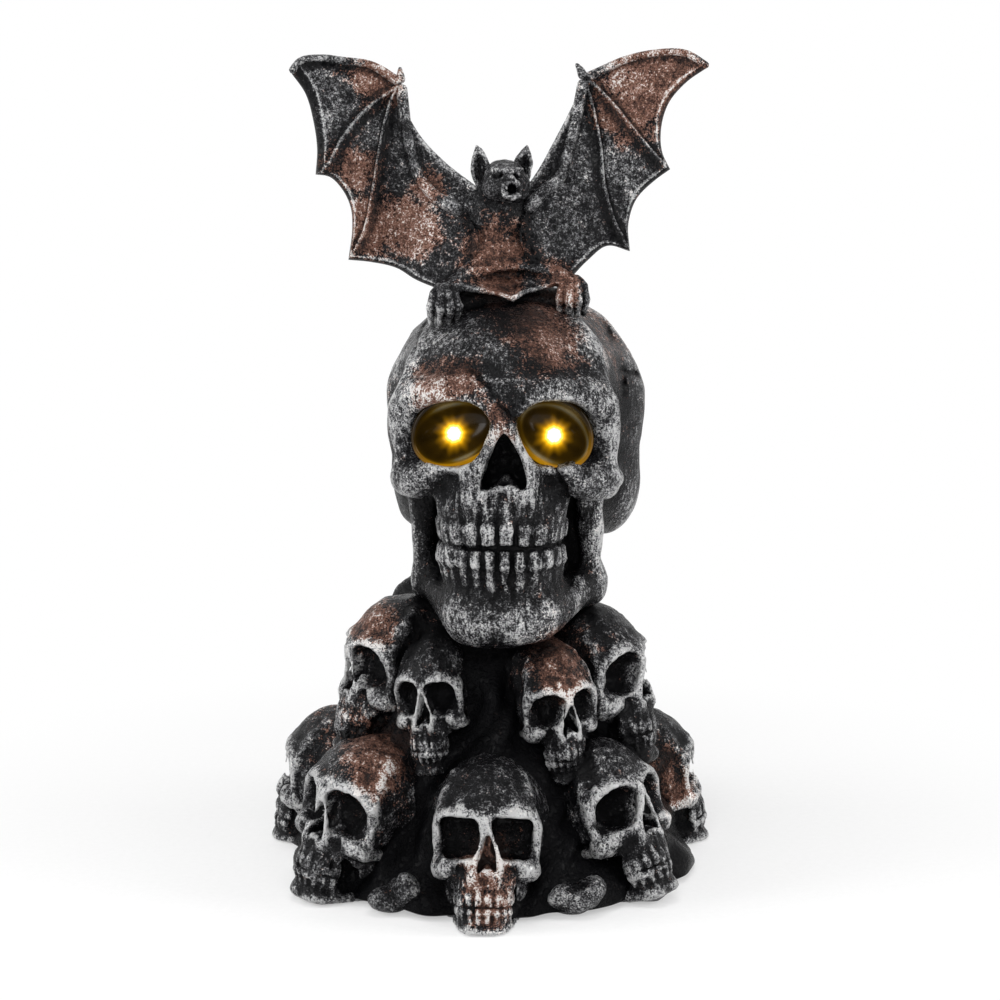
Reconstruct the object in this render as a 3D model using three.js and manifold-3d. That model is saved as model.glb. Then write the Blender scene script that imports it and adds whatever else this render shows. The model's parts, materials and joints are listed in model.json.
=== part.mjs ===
// Halloween table decoration: a bat with spread wings on the crown of a large skull with lit eyes,
// over a stack of twelve small skulls. Resin castings, with a battery tray in the hollow base.
// Millimetres, +Z up, front towards -Y, origin on the table under the middle of the object.
import * as THREE from "three";
import Module from "manifold-3d";
import { mergeVertices } from "three/addons/utils/BufferGeometryUtils.js";

const wasm = await Module();
wasm.setup();

const { degToRad } = THREE.MathUtils;

// Clearances and overruns
const seatGap = 0.3; // between two pieces that seat on or in each other
const overrun = 2; // how far a cutter runs past the face that it opens

// Large skull. Its own frame stands at chin level, under the middle of the cranium's front.
const skull = { height: 144, offsetX: 9.5, offsetY: -4, yaw: -5.5, pitch: 0.5 };
const skullWidthShare = 1; // breadth against the table of shares below
const toothLeanAngle = 4;
const teethPerSide = 6; // teeth to each side of the middle in one jaw
const spigot = { radius: 18, depth: 6 };
const wireHoleRadius = 9;

// Stack of small skulls
const stack = {
  height: 107,
  rimLift: 0.6,
  footRadius: 82,
  shoulderRadius: 60,
  shoulderHeight: 56,
  topRadius: 44,
};
const lowerRing = { height: 72, chinRadius: 103, pitch: 12, base: 0.6, widthShare: 0.92 };
// The upper skulls fill the height between the lower ring and the large skull.
const upperShares = { base: 0.486, front: 0.55, side: 0.654, rear: 0.71, rearBase: 0.505 };
const ofStack = (share) => share * stack.height;
const upperRear = {
  height: ofStack(upperShares.rear),
  chinRadius: 62,
  pitch: 2,
  base: ofStack(upperShares.rearBase),
  widthShare: 0.92,
};
const ringAngles = { lower: [108, 180, 252], rear: [142, 218] };
// The skulls seen in front, each set by its own frame: its place, at the upper skulls' base where no
// height is given, and its turns [spin about Z, lean back, roll].
const frontSkulls = [
  { height: 75, widthShare: 0.9, at: [-1.5, -74.1, -7.5], turns: [-2.5, 11.8, 1] },
  { height: 74, widthShare: 0.94, at: [-62.5, -42.5, -4.8], turns: [-46.6, 14.3, 5.8] },
  { height: 72, widthShare: 0.94, at: [58.8, -43, -5.7], turns: [39.1, 21.8, -2.5] },
  { height: ofStack(upperShares.front), widthShare: 0.76, at: [-20.1, -36.3], turns: [-21.8, 5, -5.8] },
  { height: ofStack(upperShares.front), widthShare: 0.76, at: [27.3, -35.9], turns: [22.1, -0.2, -4.4] },
  { height: ofStack(upperShares.side), widthShare: 0.9, at: [34, -9], turns: [78, 8, 0] },
  { height: ofStack(upperShares.side), widthShare: 0.9, at: [-34, -9], turns: [-78, 8, 0] },
];
const hollow = { footRadius: 55, topRadius: 20, height: 88, straight: 24 };
const knobs = { radius: 9, rise: 11, ring: 84, angles: [27, 333] };

// Bat. Its own frame stands at claw level, and its body is turned to the viewer's right.
const bat = { height: 67, sink: 6, offsetX: 5, offsetY: -10, yaw: 8 };
const clawHeight = stack.height + skull.height - bat.sink; // the claws hold on below the crown's top
const legRadius = 5;
const toe = { radius: 2.1, length: 12, spacing: 4.4, count: 4, drop: 13 };
const tailThickness = 3.5;

// Wings, measured from the body's middle: [span, rise over the claws, bow of the rib that ends there]
const wing = { thickness: 3, boneRadius: 2.8, wristSpan: 42, sweep: 14, cup: 22, rake: 12, back: 3 };
const wrist = [42, 95];
const ribTips = [
  [86, 97, 9],
  [76, 55, 4],
  [63, 20, 4],
  [26, 9, 5],
  [10, 24, 8],
  [12, 42, 8],
];
const scallopShares = [0.05, 0.14, 0.07, 0.04, 0];
const ribFlankShares = [0, 0.08, 0.36, 0.64, 0.92]; // columns of the membrane from one rib to the next
const elbowShares = [0.5, 0.13]; // along the arm from the shoulder, and out from the straight
const palmRadius = 2.5; // the fan of the membrane starts this far from the wrist
const wingSeatGap = 0.4;
const thumb = { length: 9, radius: 1.6 };

// Base tray
const tray = { radius: 66, thickness: 4, lift: 3 };
const foot = { radius: 6, ring: 56, firstAngle: 45 };
const trayScrew = { ring: 60.5, shankRadius: 1.4, headRadius: 2.8, headHeight: 1.6, length: 12 };
const screwGap = 0.3;
const screwCount = 4;

// Cells, AA size
const cell = { radius: 7.1, length: 49.2, nubRadius: 2.7, nubLength: 1.2, between: 0.8, sideGap: 0.5 };
const bay = { middleX: -12, wall: 1.6 };
const contact = { thickness: 0.5, width: 9, tabWidth: 3, tabHeight: 3 };
const spring = { radius: 3.6, tipRadius: 2.4, length: 3.4 };

// Battery door
const door = { thickness: 2, lap: 3, gap: 0.3 };
const tab = { width: 8, reach: 2.5, thickness: 0.8, offset: 18 };
const doorScrew = { headRadius: 2.4, headHeight: 1.2, shankRadius: 1.1, length: 4, inset: 2.6, lug: 3.4 };
const grip = { width: 14, length: 3, depth: 0.9, inset: 4, offset: 20 };

// Slide switch and board
const slide = { middleX: 18, width: 8.6, length: 15, height: 6, wall: 1.1, cavityHeight: 3.6 };
const knob = { width: 3.2, length: 3.6, below: 1.7, headWidth: 5.4, headHeight: 2 };
const knobTravel = 4;
const board = { middleX: 38, width: 14, length: 32, thickness: 1.6, postHeight: 3, postRadius: 2 };
const chip = { width: 5, length: 6, height: 1.6 };

// Lamps, 5 mm size, and their bowls
const led = { radius: 2.5, length: 8.6, flangeRadius: 2.9, flangeThickness: 1, tipDepth: 14.4 };
const bowl = { thickness: 1.6, rimDepth: 6 };
const wireRadius = 0.7;

// Finishes
const finish = (color, roughness, metalness) =>
  new THREE.MeshStandardMaterial({ color, roughness, metalness });
const antiquedResin = finish(0x35353a, 0.45, 0.55);
const blackPlastic = finish(0x151517, 0.5, 0);
const blackRubber = finish(0x1b1b1b, 0.9, 0);
const nickel = finish(0xb9bcc0, 0.3, 1);
const amberLens = finish(0xa86a08, 0.15, 0);
const amberLamp = finish(0xffc04a, 0.2, 0);
const cellSleeve = finish(0x2f4a6b, 0.35, 0.2);
const boardGreen = finish(0x1f5a35, 0.5, 0);
const redSleeve = finish(0x9c1f1f, 0.5, 0);
const blackSleeve = finish(0x1d1d20, 0.5, 0);

// A closed geometry as a solid that can be joined and cut.
function solidOf(geometry) {
  const bare = geometry.index ? geometry.toNonIndexed() : geometry.clone();
  for (const name of Object.keys(bare.attributes)) if (name !== "position") bare.deleteAttribute(name);
  const merged = mergeVertices(bare, 1e-3);
  return new wasm.Manifold(
    new wasm.Mesh({
      numProp: 3,
      vertProperties: merged.attributes.position.array,
      triVerts: new Uint32Array(merged.index.array),
    }),
  );
}

const joined = (solids) => solids.reduce((sum, next) => sum.add(next));
const cutBy = (solid, cutters) => cutters.reduce((left, next) => left.subtract(next), solid);

// The matrix that turns about X, Y and Z, in degrees, and then moves.
function placing(at, turn = [0, 0, 0]) {
  const euler = new THREE.Euler(...turn.map(degToRad), "ZYX");
  return new THREE.Matrix4().makeRotationFromEuler(euler).setPosition(...at);
}

const still = new THREE.Matrix4();

function ellipsoid(frame, at, radii, turn, around = 16, down = 10) {
  const ball = new THREE.SphereGeometry(1, around, down).scale(...radii);
  return solidOf(ball.applyMatrix4(placing(at, turn)).applyMatrix4(frame));
}

function box(at, size, frame = still) {
  return solidOf(new THREE.BoxGeometry(...size).applyMatrix4(placing(at)).applyMatrix4(frame));
}

// A cylinder that stands along Z from one height to another.
function post(x, y, low, high, radius, sides = 24) {
  const upright = new THREE.CylinderGeometry(radius, radius, high - low, sides).rotateX(Math.PI / 2);
  return solidOf(upright.applyMatrix4(placing([x, y, (low + high) / 2])));
}

// A cylinder along Y from one place to another.
function rod(x, z, front, rear, radius, sides = 20, frame = still) {
  const bar = new THREE.CylinderGeometry(radius, radius, rear - front, sides);
  return solidOf(bar.applyMatrix4(placing([x, (front + rear) / 2, z])).applyMatrix4(frame));
}

// A round section carried along a smooth line through points.
function tube(points, radius, steps, sides = 8, frame = still) {
  const line = new THREE.CatmullRomCurve3(points.map((p) => new THREE.Vector3(...p)));
  const section = new THREE.Shape().absarc(0, 0, radius, 0, Math.PI * 2);
  const settings = { extrudePath: line, steps, curveSegments: sides / 2, bevelEnabled: false };
  return solidOf(new THREE.ExtrudeGeometry(section, settings).applyMatrix4(frame));
}

// A profile of [radius, height] pairs turned round Z.
function turned(profile, sides = 28) {
  const lathe = new THREE.LatheGeometry(profile.map((p) => new THREE.Vector2(...p)), sides);
  return solidOf(lathe.rotateX(Math.PI / 2));
}

// A closed slab: a surface point(u, v) at the columns u, thickened to both sides along Y.
function slab(point, columns, countV, thicknessAt, frame) {
  const countU = columns.length - 1;
  const places = [];
  for (const side of [-1, 1])
    for (const u of columns)
      for (let j = 0; j <= countV; j++) {
        const [x, y, z] = point(u, j / countV);
        places.push(x, y + (side * thicknessAt(u)) / 2, z);
      }
  const at = (side, i, j) => (side * (countU + 1) + i) * (countV + 1) + j;
  const faces = [];
  const quad = (a, b, c, d) => faces.push(a, b, c, a, c, d);
  for (let i = 0; i < countU; i++)
    for (let j = 0; j < countV; j++) {
      quad(at(0, i, j), at(0, i, j + 1), at(0, i + 1, j + 1), at(0, i + 1, j));
      quad(at(1, i, j), at(1, i + 1, j), at(1, i + 1, j + 1), at(1, i, j + 1));
    }
  for (let i = 0; i < countU; i++) {
    quad(at(0, i, 0), at(0, i + 1, 0), at(1, i + 1, 0), at(1, i, 0));
    quad(at(0, i, countV), at(1, i, countV), at(1, i + 1, countV), at(0, i + 1, countV));
  }
  for (let j = 0; j < countV; j++) {
    quad(at(0, 0, j), at(1, 0, j), at(1, 0, j + 1), at(0, 0, j + 1));
    quad(at(0, countU, j), at(0, countU, j + 1), at(1, countU, j + 1), at(1, countU, j));
  }
  const geometry = new THREE.BufferGeometry();
  geometry.setAttribute("position", new THREE.Float32BufferAttribute(places, 3));
  geometry.setIndex(faces);
  return solidOf(geometry.applyMatrix4(frame));
}

// A closed form through level rings of places, each ring counterclockwise from above, lowest first.
function loft(rings, frame) {
  const around = rings[0].length;
  const places = rings.flat(2);
  const faces = [];
  for (let i = 0; i < rings.length - 1; i++)
    for (let j = 0; j < around; j++) {
      const [a, b] = [i * around + j, i * around + ((j + 1) % around)];
      faces.push(a, b, b + around, a, b + around, a + around);
    }
  const middleOf = (ring) =>
    ring[0].map((_, axis) => ring.reduce((sum, place) => sum + place[axis], 0) / around);
  for (const [row, flip] of [[0, true], [rings.length - 1, false]]) {
    places.push(...middleOf(rings[row]));
    const middle = places.length / 3 - 1;
    for (let j = 0; j < around; j++) {
      const [a, b] = [row * around + j, row * around + ((j + 1) % around)];
      faces.push(middle, flip ? b : a, flip ? a : b);
    }
  }
  const geometry = new THREE.BufferGeometry();
  geometry.setAttribute("position", new THREE.Float32BufferAttribute(places, 3));
  geometry.setIndex(faces);
  return solidOf(geometry.applyMatrix4(frame));
}

// Skulls. Everything here is a share of a skull's height, from its chin and the middle of its cranium.
// Each rounded part has a middle, radii and turns; one that is off the middle is there on both sides.
const skullShares = {
  cranium: { at: [0, 0.104, 0.653], radii: [0.389, 0.4, 0.347] },
  forehead: { at: [0, -0.083, 0.681], radii: [0.33, 0.323, 0.292] },
  occiput: { at: [0, 0.139, 0.431], radii: [0.333, 0.285, 0.194] },
  temple: { at: [0.392, -0.118, 0.611], radii: [0.094, 0.132, 0.18], turn: [0, 0, 10] },
  upperJaw: { at: [0, -0.25, 0.41], radii: [0.2, 0.145, 0.145] },
  arch: { at: [0, -0.25, 0.285], radii: [0.187, 0.17, 0.22] },
  bridge: { at: [0, -0.385, 0.66], radii: [0.05, 0.062, 0.11] },
  noseSide: { at: [0.085, -0.35, 0.525], radii: [0.045, 0.055, 0.11], turn: [-10, 0, 0] },
  cheek: { at: [0.2, -0.275, 0.485], radii: [0.12, 0.105, 0.075], turn: [0, 14, 33] },
  bar: { at: [0.3, -0.095, 0.466], radii: [0.032, 0.21, 0.034], turn: [0, 0, -3] },
  chin: { at: [0, -0.31, 0.1], radii: [0.165, 0.115, 0.11] },
  jaw: { at: [0.165, -0.2, 0.125], radii: [0.075, 0.21, 0.08], turn: [0, 0, -31] },
  branch: { at: [0.262, -0.056, 0.264], radii: [0.036, 0.085, 0.2], turn: [8, 0, 6] },
  mastoid: { at: [0.3125, 0.139, 0.375], radii: [0.0625, 0.09, 0.111] },
  orbit: { at: [0.144, -0.39, 0.63], radii: [0.12, 0.15, 0.1], turn: [0, 10, 0] },
  nose: { at: [0, -0.425, 0.545], radii: [0.072, 0.11, 0.085] },
  cheekGap: { at: [0.215, -0.23, 0.292], radii: [0.03, 0.174, 0.153], turn: [0, 0, 8] },
};
const vaultNames = ["cranium", "forehead", "occiput"];
const faceNames = ["upperJaw", "arch", "bridge", "noseSide", "cheek", "bar"];
const jawNames = ["chin", "jaw", "branch", "mastoid"];
const vaultDetail = [18, 11]; // facets round and down a part
const faceDetail = [10, 6];
const smallDetail = [6, 5];
const smallSides = 10;
// The brow runs out over the socket and down its outer side.
const browShares = {
  line: [
    [0.02, -0.39, 0.705],
    [0.16, -0.378, 0.745],
    [0.24, -0.335, 0.733],
    [0.292, -0.283, 0.68],
    [0.292, -0.265, 0.52],
  ],
  radius: 0.03,
};
// A small skull is plainer: a shell through rings, each with its height, half width, front, back, and
// how much narrower the front is than the back. Its face is lower and its jaw is shorter.
const smallRingShares = [
  [-0.01, 0.1, -0.39, -0.22, 0],
  [0.06, 0.24, -0.42, 0.02, 0.35],
  [0.18, 0.27, -0.415, 0.16, 0.32],
  [0.34, 0.3, -0.395, 0.34, 0.16],
  [0.44, 0.33, -0.4, 0.44, 0.1],
  [0.68, 0.385, -0.4, 0.505, 0.12],
  [0.82, 0.36, -0.355, 0.47, 0.08],
  [0.92, 0.27, -0.25, 0.38, 0],
  [0.99, 0.15, -0.1, 0.26, 0],
  [1.02, 0.05, 0.0, 0.15, 0],
];
const smallShares = {
  cheek: { at: [0.17, -0.27, 0.425], radii: [0.115, 0.12, 0.065], turn: [0, 0, 30] },
  brow: { at: [0.11, -0.325, 0.665], radii: [0.15, 0.09, 0.065], turn: [0, 4, 18] },
  orbit: { at: [0.15, -0.41, 0.56], radii: [0.13, 0.19, 0.122], turn: [0, 8, 0] },
  nose: { at: [0, -0.43, 0.43], radii: [0.07, 0.11, 0.09] },
};

// One rounded part of a skull or the space of a cut: grow adds to its radii.
function skullPart(frame, size, width, { at, radii, turn = [0, 0, 0] }, side, detail, grow = 0) {
  const place = [at[0] * side * size * width, at[1] * size, at[2] * size];
  const spread = [radii[0] * size * width + grow, radii[1] * size + grow, radii[2] * size + grow];
  const [tiltX, tiltY, tiltZ] = turn;
  return ellipsoid(frame, place, spread, [tiltX, tiltY * side, tiltZ * side], ...detail);
}

// Parts of the large skull by name; one that is off the middle comes twice.
function skullParts(names, detail, grow = 0) {
  return names.flatMap((name) => {
    const sides = skullShares[name].at[0] === 0 ? [1] : [-1, 1];
    return sides.map((side) =>
      skullPart(skullFrame, skull.height, skullWidthShare, skullShares[name], side, detail, grow),
    );
  });
}

function smallSkull(frame, size, width) {
  const places = smallRingShares.map(([rise, half, front, back, taper]) =>
    Array.from({ length: smallSides }, (_, n) => {
      const angle = (2 * Math.PI * (n + 0.5)) / smallSides;
      const [across, along] = [Math.cos(angle), Math.sin(angle)];
      const x = half * width * Math.sign(across) * Math.abs(across) ** 0.85 * (1 + taper * along);
      return [x * size, ((front + back) / 2 + ((back - front) / 2) * along) * size, rise * size];
    }),
  );
  const { cheek, brow, orbit, nose } = smallShares;
  const pair = (part) => [-1, 1].map((side) => skullPart(frame, size, width, part, side, smallDetail));
  const form = joined([loft(places, frame), ...pair(cheek), ...pair(brow)]);
  return cutBy(form, [...pair(orbit), skullPart(frame, size, width, nose, 1, smallDetail)]);
}

// Large skull
const skullFrame = placing([skull.offsetX, skull.offsetY, stack.height], [-skull.pitch, 0, skull.yaw]);
const ofSkull = (share) => share * skull.height;
const toothShares = [0.055, 0.073, 0.0486, 0.0042]; // width, height, depth and the gap to the next tooth
const archShares = { halfWidth: 0.191, depth: 0.1667, middleY: -0.25, bite: 0.3167 };
const hollowShares = { at: [0, 0.09, 0.667], radii: [0.278, 0.292, 0.236] };
const neckShares = { radius: 0.257, setback: 0.07, height: 0.347 };

function toothRow(lower) {
  const [width, height, depth, gap] = toothShares.map(ofSkull);
  const [halfWidth, reach] = [ofSkull(archShares.halfWidth), ofSkull(archShares.depth)];
  const middleZ = ofSkull(archShares.bite) + (lower ? -1 : 1) * ((height + gap) / 2);
  const halfTurn = Math.PI / 2 - Math.asin((width * teethPerSide) / (2 * (halfWidth + reach)));
  const blocks = [];
  for (let n = 0; n < 2 * teethPerSide; n++) {
    const angle = ((n + 0.5) / teethPerSide - 1) * halfTurn;
    const y = ofSkull(archShares.middleY) - reach * Math.cos(angle) + depth / 2;
    const turn = [lower ? toothLeanAngle : -toothLeanAngle, 0, THREE.MathUtils.radToDeg(angle)];
    const facing = placing([halfWidth * Math.sin(angle), y, middleZ], turn).premultiply(skullFrame);
    blocks.push(box([0, 0, 0], [width - gap, depth, height], facing));
  }
  return joined(blocks);
}

const lampDropShare = 0.02; // how far a lamp sits below its socket's middle

// Where a lamp's axis, along Y in the skull's own frame, passes under its socket's middle.
const lampMiddle = (side) => {
  const [x, y, z] = skullShares.orbit.at.map(ofSkull);
  return [x * side * skullWidthShare, y, z - ofSkull(lampDropShare)];
};

function lampRod(side, fromDepth, toDepth, radius, sides) {
  const [x, y, z] = lampMiddle(side);
  return rod(x, z, y + fromDepth, y + toDepth, radius, sides, skullFrame);
}

function skullHollowForm() {
  const { at, radii } = hollowShares;
  return ellipsoid(skullFrame, at.map(ofSkull), radii.map(ofSkull), [0, 0, 0], 12, 8);
}

const skullAxis = { x: skull.offsetX, y: skull.offsetY + ofSkull(neckShares.setback) };
const neckRadius = ofSkull(neckShares.radius);
const neckTop = stack.height + ofSkull(neckShares.height);
const hollowMiddleZ = stack.height + ofSkull(hollowShares.at[2]);

function skullCasting() {
  const vault = joined(skullParts(vaultNames, vaultDetail));
  const brows = [-1, 1].map((side) => {
    const points = browShares.line.map(([x, y, z]) => [x * side, y, z].map(ofSkull));
    return tube(points, ofSkull(browShares.radius), 8, 6, skullFrame);
  });
  const form = joined([
    cutBy(vault, skullParts(["temple"], faceDetail)),
    ...skullParts([...faceNames, ...jawNames], faceDetail),
    ...brows,
    toothRow(false),
    toothRow(true),
    post(skullAxis.x, skullAxis.y, stack.height + seatGap, neckTop, neckRadius, 20),
    post(skullAxis.x, skullAxis.y, stack.height - spigot.depth + seatGap, neckTop, spigot.radius, 20),
  ]);
  const breadth = 4 * stack.footRadius;
  const below = box([0, 0, stack.height / 2], [breadth, breadth, stack.height + 2 * seatGap]);
  const opened = cutBy(form, skullParts(["orbit", "nose", "cheekGap"], faceDetail));
  const clipped = opened.subtract(below.subtract(spigotSpace(0)));
  const boreDepth = skull.height / 3;
  const bores = [-1, 1].map((side) =>
    lampRod(side, led.tipDepth - led.length, boreDepth, led.flangeRadius + seatGap, 16),
  );
  const bottom = stack.height - spigot.depth - overrun;
  const wireHole = post(skullAxis.x, skullAxis.y, bottom, hollowMiddleZ, wireHoleRadius);
  return cutBy(clipped, [skullHollowForm(), wireHole, ...bores]);
}

// The round seat under the neck, grown by a clearance.
function spigotSpace(grow) {
  const low = stack.height - spigot.depth - overrun * Math.sign(grow);
  return post(skullAxis.x, skullAxis.y, low, stack.height + 2 * overrun, spigot.radius + grow, 20);
}

// A bowl lines the back of each socket, with a hole for its lamp.
function eyeLens(side) {
  const { orbit } = skullShares;
  const shrunk = (by) =>
    skullPart(skullFrame, skull.height, skullWidthShare, orbit, side, faceDetail, -by);
  const [outer, inner] = [shrunk(seatGap), shrunk(seatGap + bowl.thickness)];
  const [x, y, z] = lampMiddle(side);
  const reach = skull.height / 2;
  const front = box([x, y + bowl.rimDepth - reach / 2, z], [reach, reach, reach], skullFrame);
  const hole = lampRod(side, 0, reach, led.radius + seatGap, 16);
  return cutBy(outer, [inner, front, hole]);
}

function lamp(side) {
  const [x, y, z] = lampMiddle(side);
  const tip = [x, y + led.tipDepth + led.radius, z];
  const dome = ellipsoid(skullFrame, tip, [led.radius, led.radius, led.radius], [0, 0, 0], 12, 6);
  const barrel = lampRod(side, led.tipDepth + led.radius, led.tipDepth + led.length, led.radius, 12);
  const flangeFront = led.tipDepth + led.length - led.flangeThickness;
  const flange = lampRod(side, flangeFront, led.tipDepth + led.length, led.flangeRadius, 12);
  return joined([dome, barrel, flange]);
}

// The space that the large skull and its neck take in the stack, with the seat gap round them.
function skullSpace() {
  const grow = 2 * seatGap;
  const neck = post(skullAxis.x, skullAxis.y, stack.height, neckTop, neckRadius + seatGap, 20);
  const vault = skullParts(vaultNames, vaultDetail, grow);
  return joined([...vault, ...skullParts([...faceNames, ...jawNames], faceDetail, grow), neck]);
}

// Stack of small skulls: those at the sides and the back stand with their chins on two rings
const chinReachShare = 0.425;

function ringFrames({ height, chinRadius, pitch, base }, angles) {
  const chinReach = chinReachShare * height;
  return angles.map((angle) => {
    const spin = placing([0, 0, 0], [0, 0, angle]);
    const chin = placing([0, -chinRadius, base]);
    const tilt = placing([0, 0, 0], [-pitch, 0, 0]);
    const back = placing([0, chinReach, 0]);
    return spin.multiply(chin).multiply(tilt).multiply(back);
  });
}

function stackCore() {
  return turned([
    [0, stack.rimLift],
    [stack.footRadius, stack.rimLift],
    [stack.footRadius, stack.shoulderHeight / 3],
    [stack.shoulderRadius, stack.shoulderHeight],
    [stack.topRadius, stack.height],
    [0, stack.height],
  ]);
}

function stackHollow() {
  const floor = tray.lift + tray.thickness + seatGap;
  return turned([
    [0, floor - overrun],
    [hollow.footRadius, floor - overrun],
    [hollow.footRadius, hollow.straight],
    [hollow.topRadius, hollow.height],
    [0, hollow.height],
  ]);
}

// A frame spun about Z, then leant back, then rolled, each about its own axis.
function faceFrame({ at: [x, y, z = ofStack(upperShares.base)], turns: [spin, lean, roll] }) {
  const leant = placing([0, 0, 0], [-lean, 0, 0]);
  return placing([x, y, z], [0, 0, spin]).multiply(leant).multiply(placing([0, 0, 0], [0, roll, 0]));
}

function stackCasting() {
  const ringOf = (ring, angles) => ringFrames(ring, angles).map((frame) => [frame, ring]);
  const places = [
    ...frontSkulls.map((row) => [faceFrame(row), row]),
    ...ringOf(lowerRing, ringAngles.lower),
    ...ringOf(upperRear, ringAngles.rear),
  ];
  const rings = places.map(([frame, { height, widthShare }]) =>
    smallSkull(frame, height, widthShare),
  );
  const lumps = knobs.angles.map((angle) => {
    const spin = placing([0, 0, 0], [0, 0, angle]);
    const radii = [knobs.radius, knobs.radius, knobs.radius];
    return ellipsoid(spin, [0, -knobs.ring, knobs.rise], radii, [0, 0, 0], 12, 8);
  });
  const form = joined([stackCore(), ...rings, ...lumps]);
  const reach = 4 * lowerRing.chinRadius;
  const under = box([0, 0, stack.rimLift - reach / 2], [reach, reach, reach]);
  const recessTop = tray.lift + tray.thickness + seatGap;
  const recess = post(0, 0, stack.rimLift - overrun, recessTop, tray.radius + seatGap, 48);
  const passage = post(skullAxis.x, skullAxis.y, hollow.straight, stack.height + overrun, wireHoleRadius);
  const pilots = screwPlaces().map(([x, y]) =>
    post(x, y, tray.lift, trayScrew.length + tray.lift + seatGap, trayScrew.shankRadius + seatGap, 12),
  );
  const seats = [recess, skullSpace(), spigotSpace(seatGap)];
  return cutBy(form, [under, ...seats, stackHollow(), passage, ...pilots]);
}

// Bat
const batFrame = placing([bat.offsetX, bat.offsetY, clawHeight], [0, 0, bat.yaw]);
const wingFrame = placing([bat.offsetX, bat.offsetY, clawHeight]);
const batShares = {
  torso: { at: [0, 0, 0.48], radii: [0.165, 0.14, 0.26] },
  hips: { at: [0, 0, 0.29], radii: [0.21, 0.15, 0.14] },
  shoulders: { at: [0, 0.02, 0.62], radii: [0.2, 0.13, 0.12] },
  head: { at: [0, -0.08, 0.78], radii: [0.15, 0.15, 0.13] },
  snout: { at: [0, -0.21, 0.73], radii: [0.08, 0.09, 0.07] },
  seat: { at: [0, 0.04, 0.16], radii: [0.24, 0.14, 0.15] },
};
const earShares = { at: [0.12, -0.04, 0.83], radius: 0.09, height: 0.19, splay: 14 };
const legShares = [
  [0.1, 0, 0.3],
  [0.26, -0.04, 0.27],
  [0.4, -0.12, 0.13],
];
const tailShares = { halfWidth: 0.32, top: 0.26, bottom: 0.04, tip: -0.02, back: -0.02, forward: -0.2 };

function batPart(name, grow = 0) {
  const { at, radii } = batShares[name];
  const place = at.map((share) => share * bat.height);
  return ellipsoid(batFrame, place, radii.map((share) => share * bat.height + grow), [0, 0, 0], 10, 7);
}

function ear(side) {
  const { at, radius, height, splay } = earShares;
  const cone = new THREE.ConeGeometry(radius * bat.height, height * bat.height, 12).rotateX(Math.PI / 2);
  const place = [at[0] * side * bat.height, at[1] * bat.height, (at[2] + height / 3) * bat.height];
  return solidOf(cone.applyMatrix4(placing(place, [0, splay * side, 0])).applyMatrix4(batFrame));
}

function leg(side, grow = 0) {
  const points = legShares.map(([x, y, z]) => [x * side * bat.height, y * bat.height, z * bat.height]);
  const ankle = points[points.length - 1];
  const radius = legRadius + grow;
  const limb = tube(points, radius, 4, 8, batFrame);
  const heel = ellipsoid(batFrame, ankle, [radius, radius, radius], [0, 0, 0], 8, 6);
  const toes = [];
  for (let n = 0; n < toe.count; n++) {
    const spread = (n - (toe.count - 1) / 2) * toe.spacing;
    const [x, y, z] = ankle;
    const knuckle = [x + spread / 2, y - toe.length / 2, z];
    const claw = [x + spread, y - toe.length, z - toe.drop];
    toes.push(tube([ankle, knuckle, claw], toe.radius + grow, 2, 6, batFrame));
  }
  return joined([limb, heel, ...toes]);
}

// The skin between the legs hangs over the crown and ends in a blunt tip.
function tailSkin(grow = 0) {
  const { halfWidth, top, bottom, tip, back, forward } = tailShares;
  const point = (u, v) => {
    const side = 2 * u - 1;
    const low = bottom + (tip - bottom) * (1 - Math.abs(side));
    const arched = top * (1 - 0.5 * side * side);
    const rise = arched + (low - arched) * v;
    return [side * halfWidth, back + (forward - back) * v, rise].map((share) => share * bat.height);
  };
  const columns = Array.from({ length: 9 }, (_, n) => n / 8);
  return slab(point, columns, 3, () => tailThickness + 2 * grow, batFrame);
}

// What the bat stands on: the crown, raised and widened by the seat gap.
function crownSpace() {
  return joined(skullParts(["cranium", "forehead"], vaultDetail, 1.2 * seatGap));
}

function batForm(grow) {
  const parts = Object.keys(batShares).map((name) => batPart(name, grow));
  return joined([...parts, leg(-1, grow), leg(1, grow), tailSkin(grow)]);
}

const batBody = () => joined([batForm(0), ear(-1), ear(1)]).subtract(crownSpace());

// A wing leans back, runs back as far as the wrist, and is cupped forward from there.
function wingDepth(span, rise) {
  const out = span - wing.wristSpan;
  const swept = Math.min(span, wing.wristSpan) * Math.tan(degToRad(wing.sweep));
  const cupped = Math.max(out, 0) * Math.tan(degToRad(wing.cup));
  return wing.back + swept - cupped + (rise - wrist[1]) * Math.tan(degToRad(wing.rake));
}

// A place on a wing, u across the fan of ribs and v from the wrist to the edge.
function wingPoint(u, v, side) {
  const across = u * (ribTips.length - 1);
  const rib = Math.min(Math.floor(across), ribTips.length - 2);
  const along = across - rib;
  const [tipA, tipB] = [ribTips[rib], ribTips[rib + 1]];
  const tip = tipA.map((value, axis) => value + (tipB[axis] - value) * along);
  const [spanReach, riseReach] = [tip[0] - wrist[0], tip[1] - wrist[1]];
  const reach = Math.hypot(spanReach, riseReach);
  const start = palmRadius / reach;
  const edge = 1 - scallopShares[rib] * Math.sin(Math.PI * along);
  const share = start + (edge - start) * v;
  const bow = Math.sin(Math.PI * share) * tip[2];
  const span = wrist[0] + spanReach * share - (riseReach / reach) * bow;
  const rise = wrist[1] + riseReach * share + (spanReach / reach) * bow;
  return [side * span, wingDepth(span, rise), rise];
}

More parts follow.
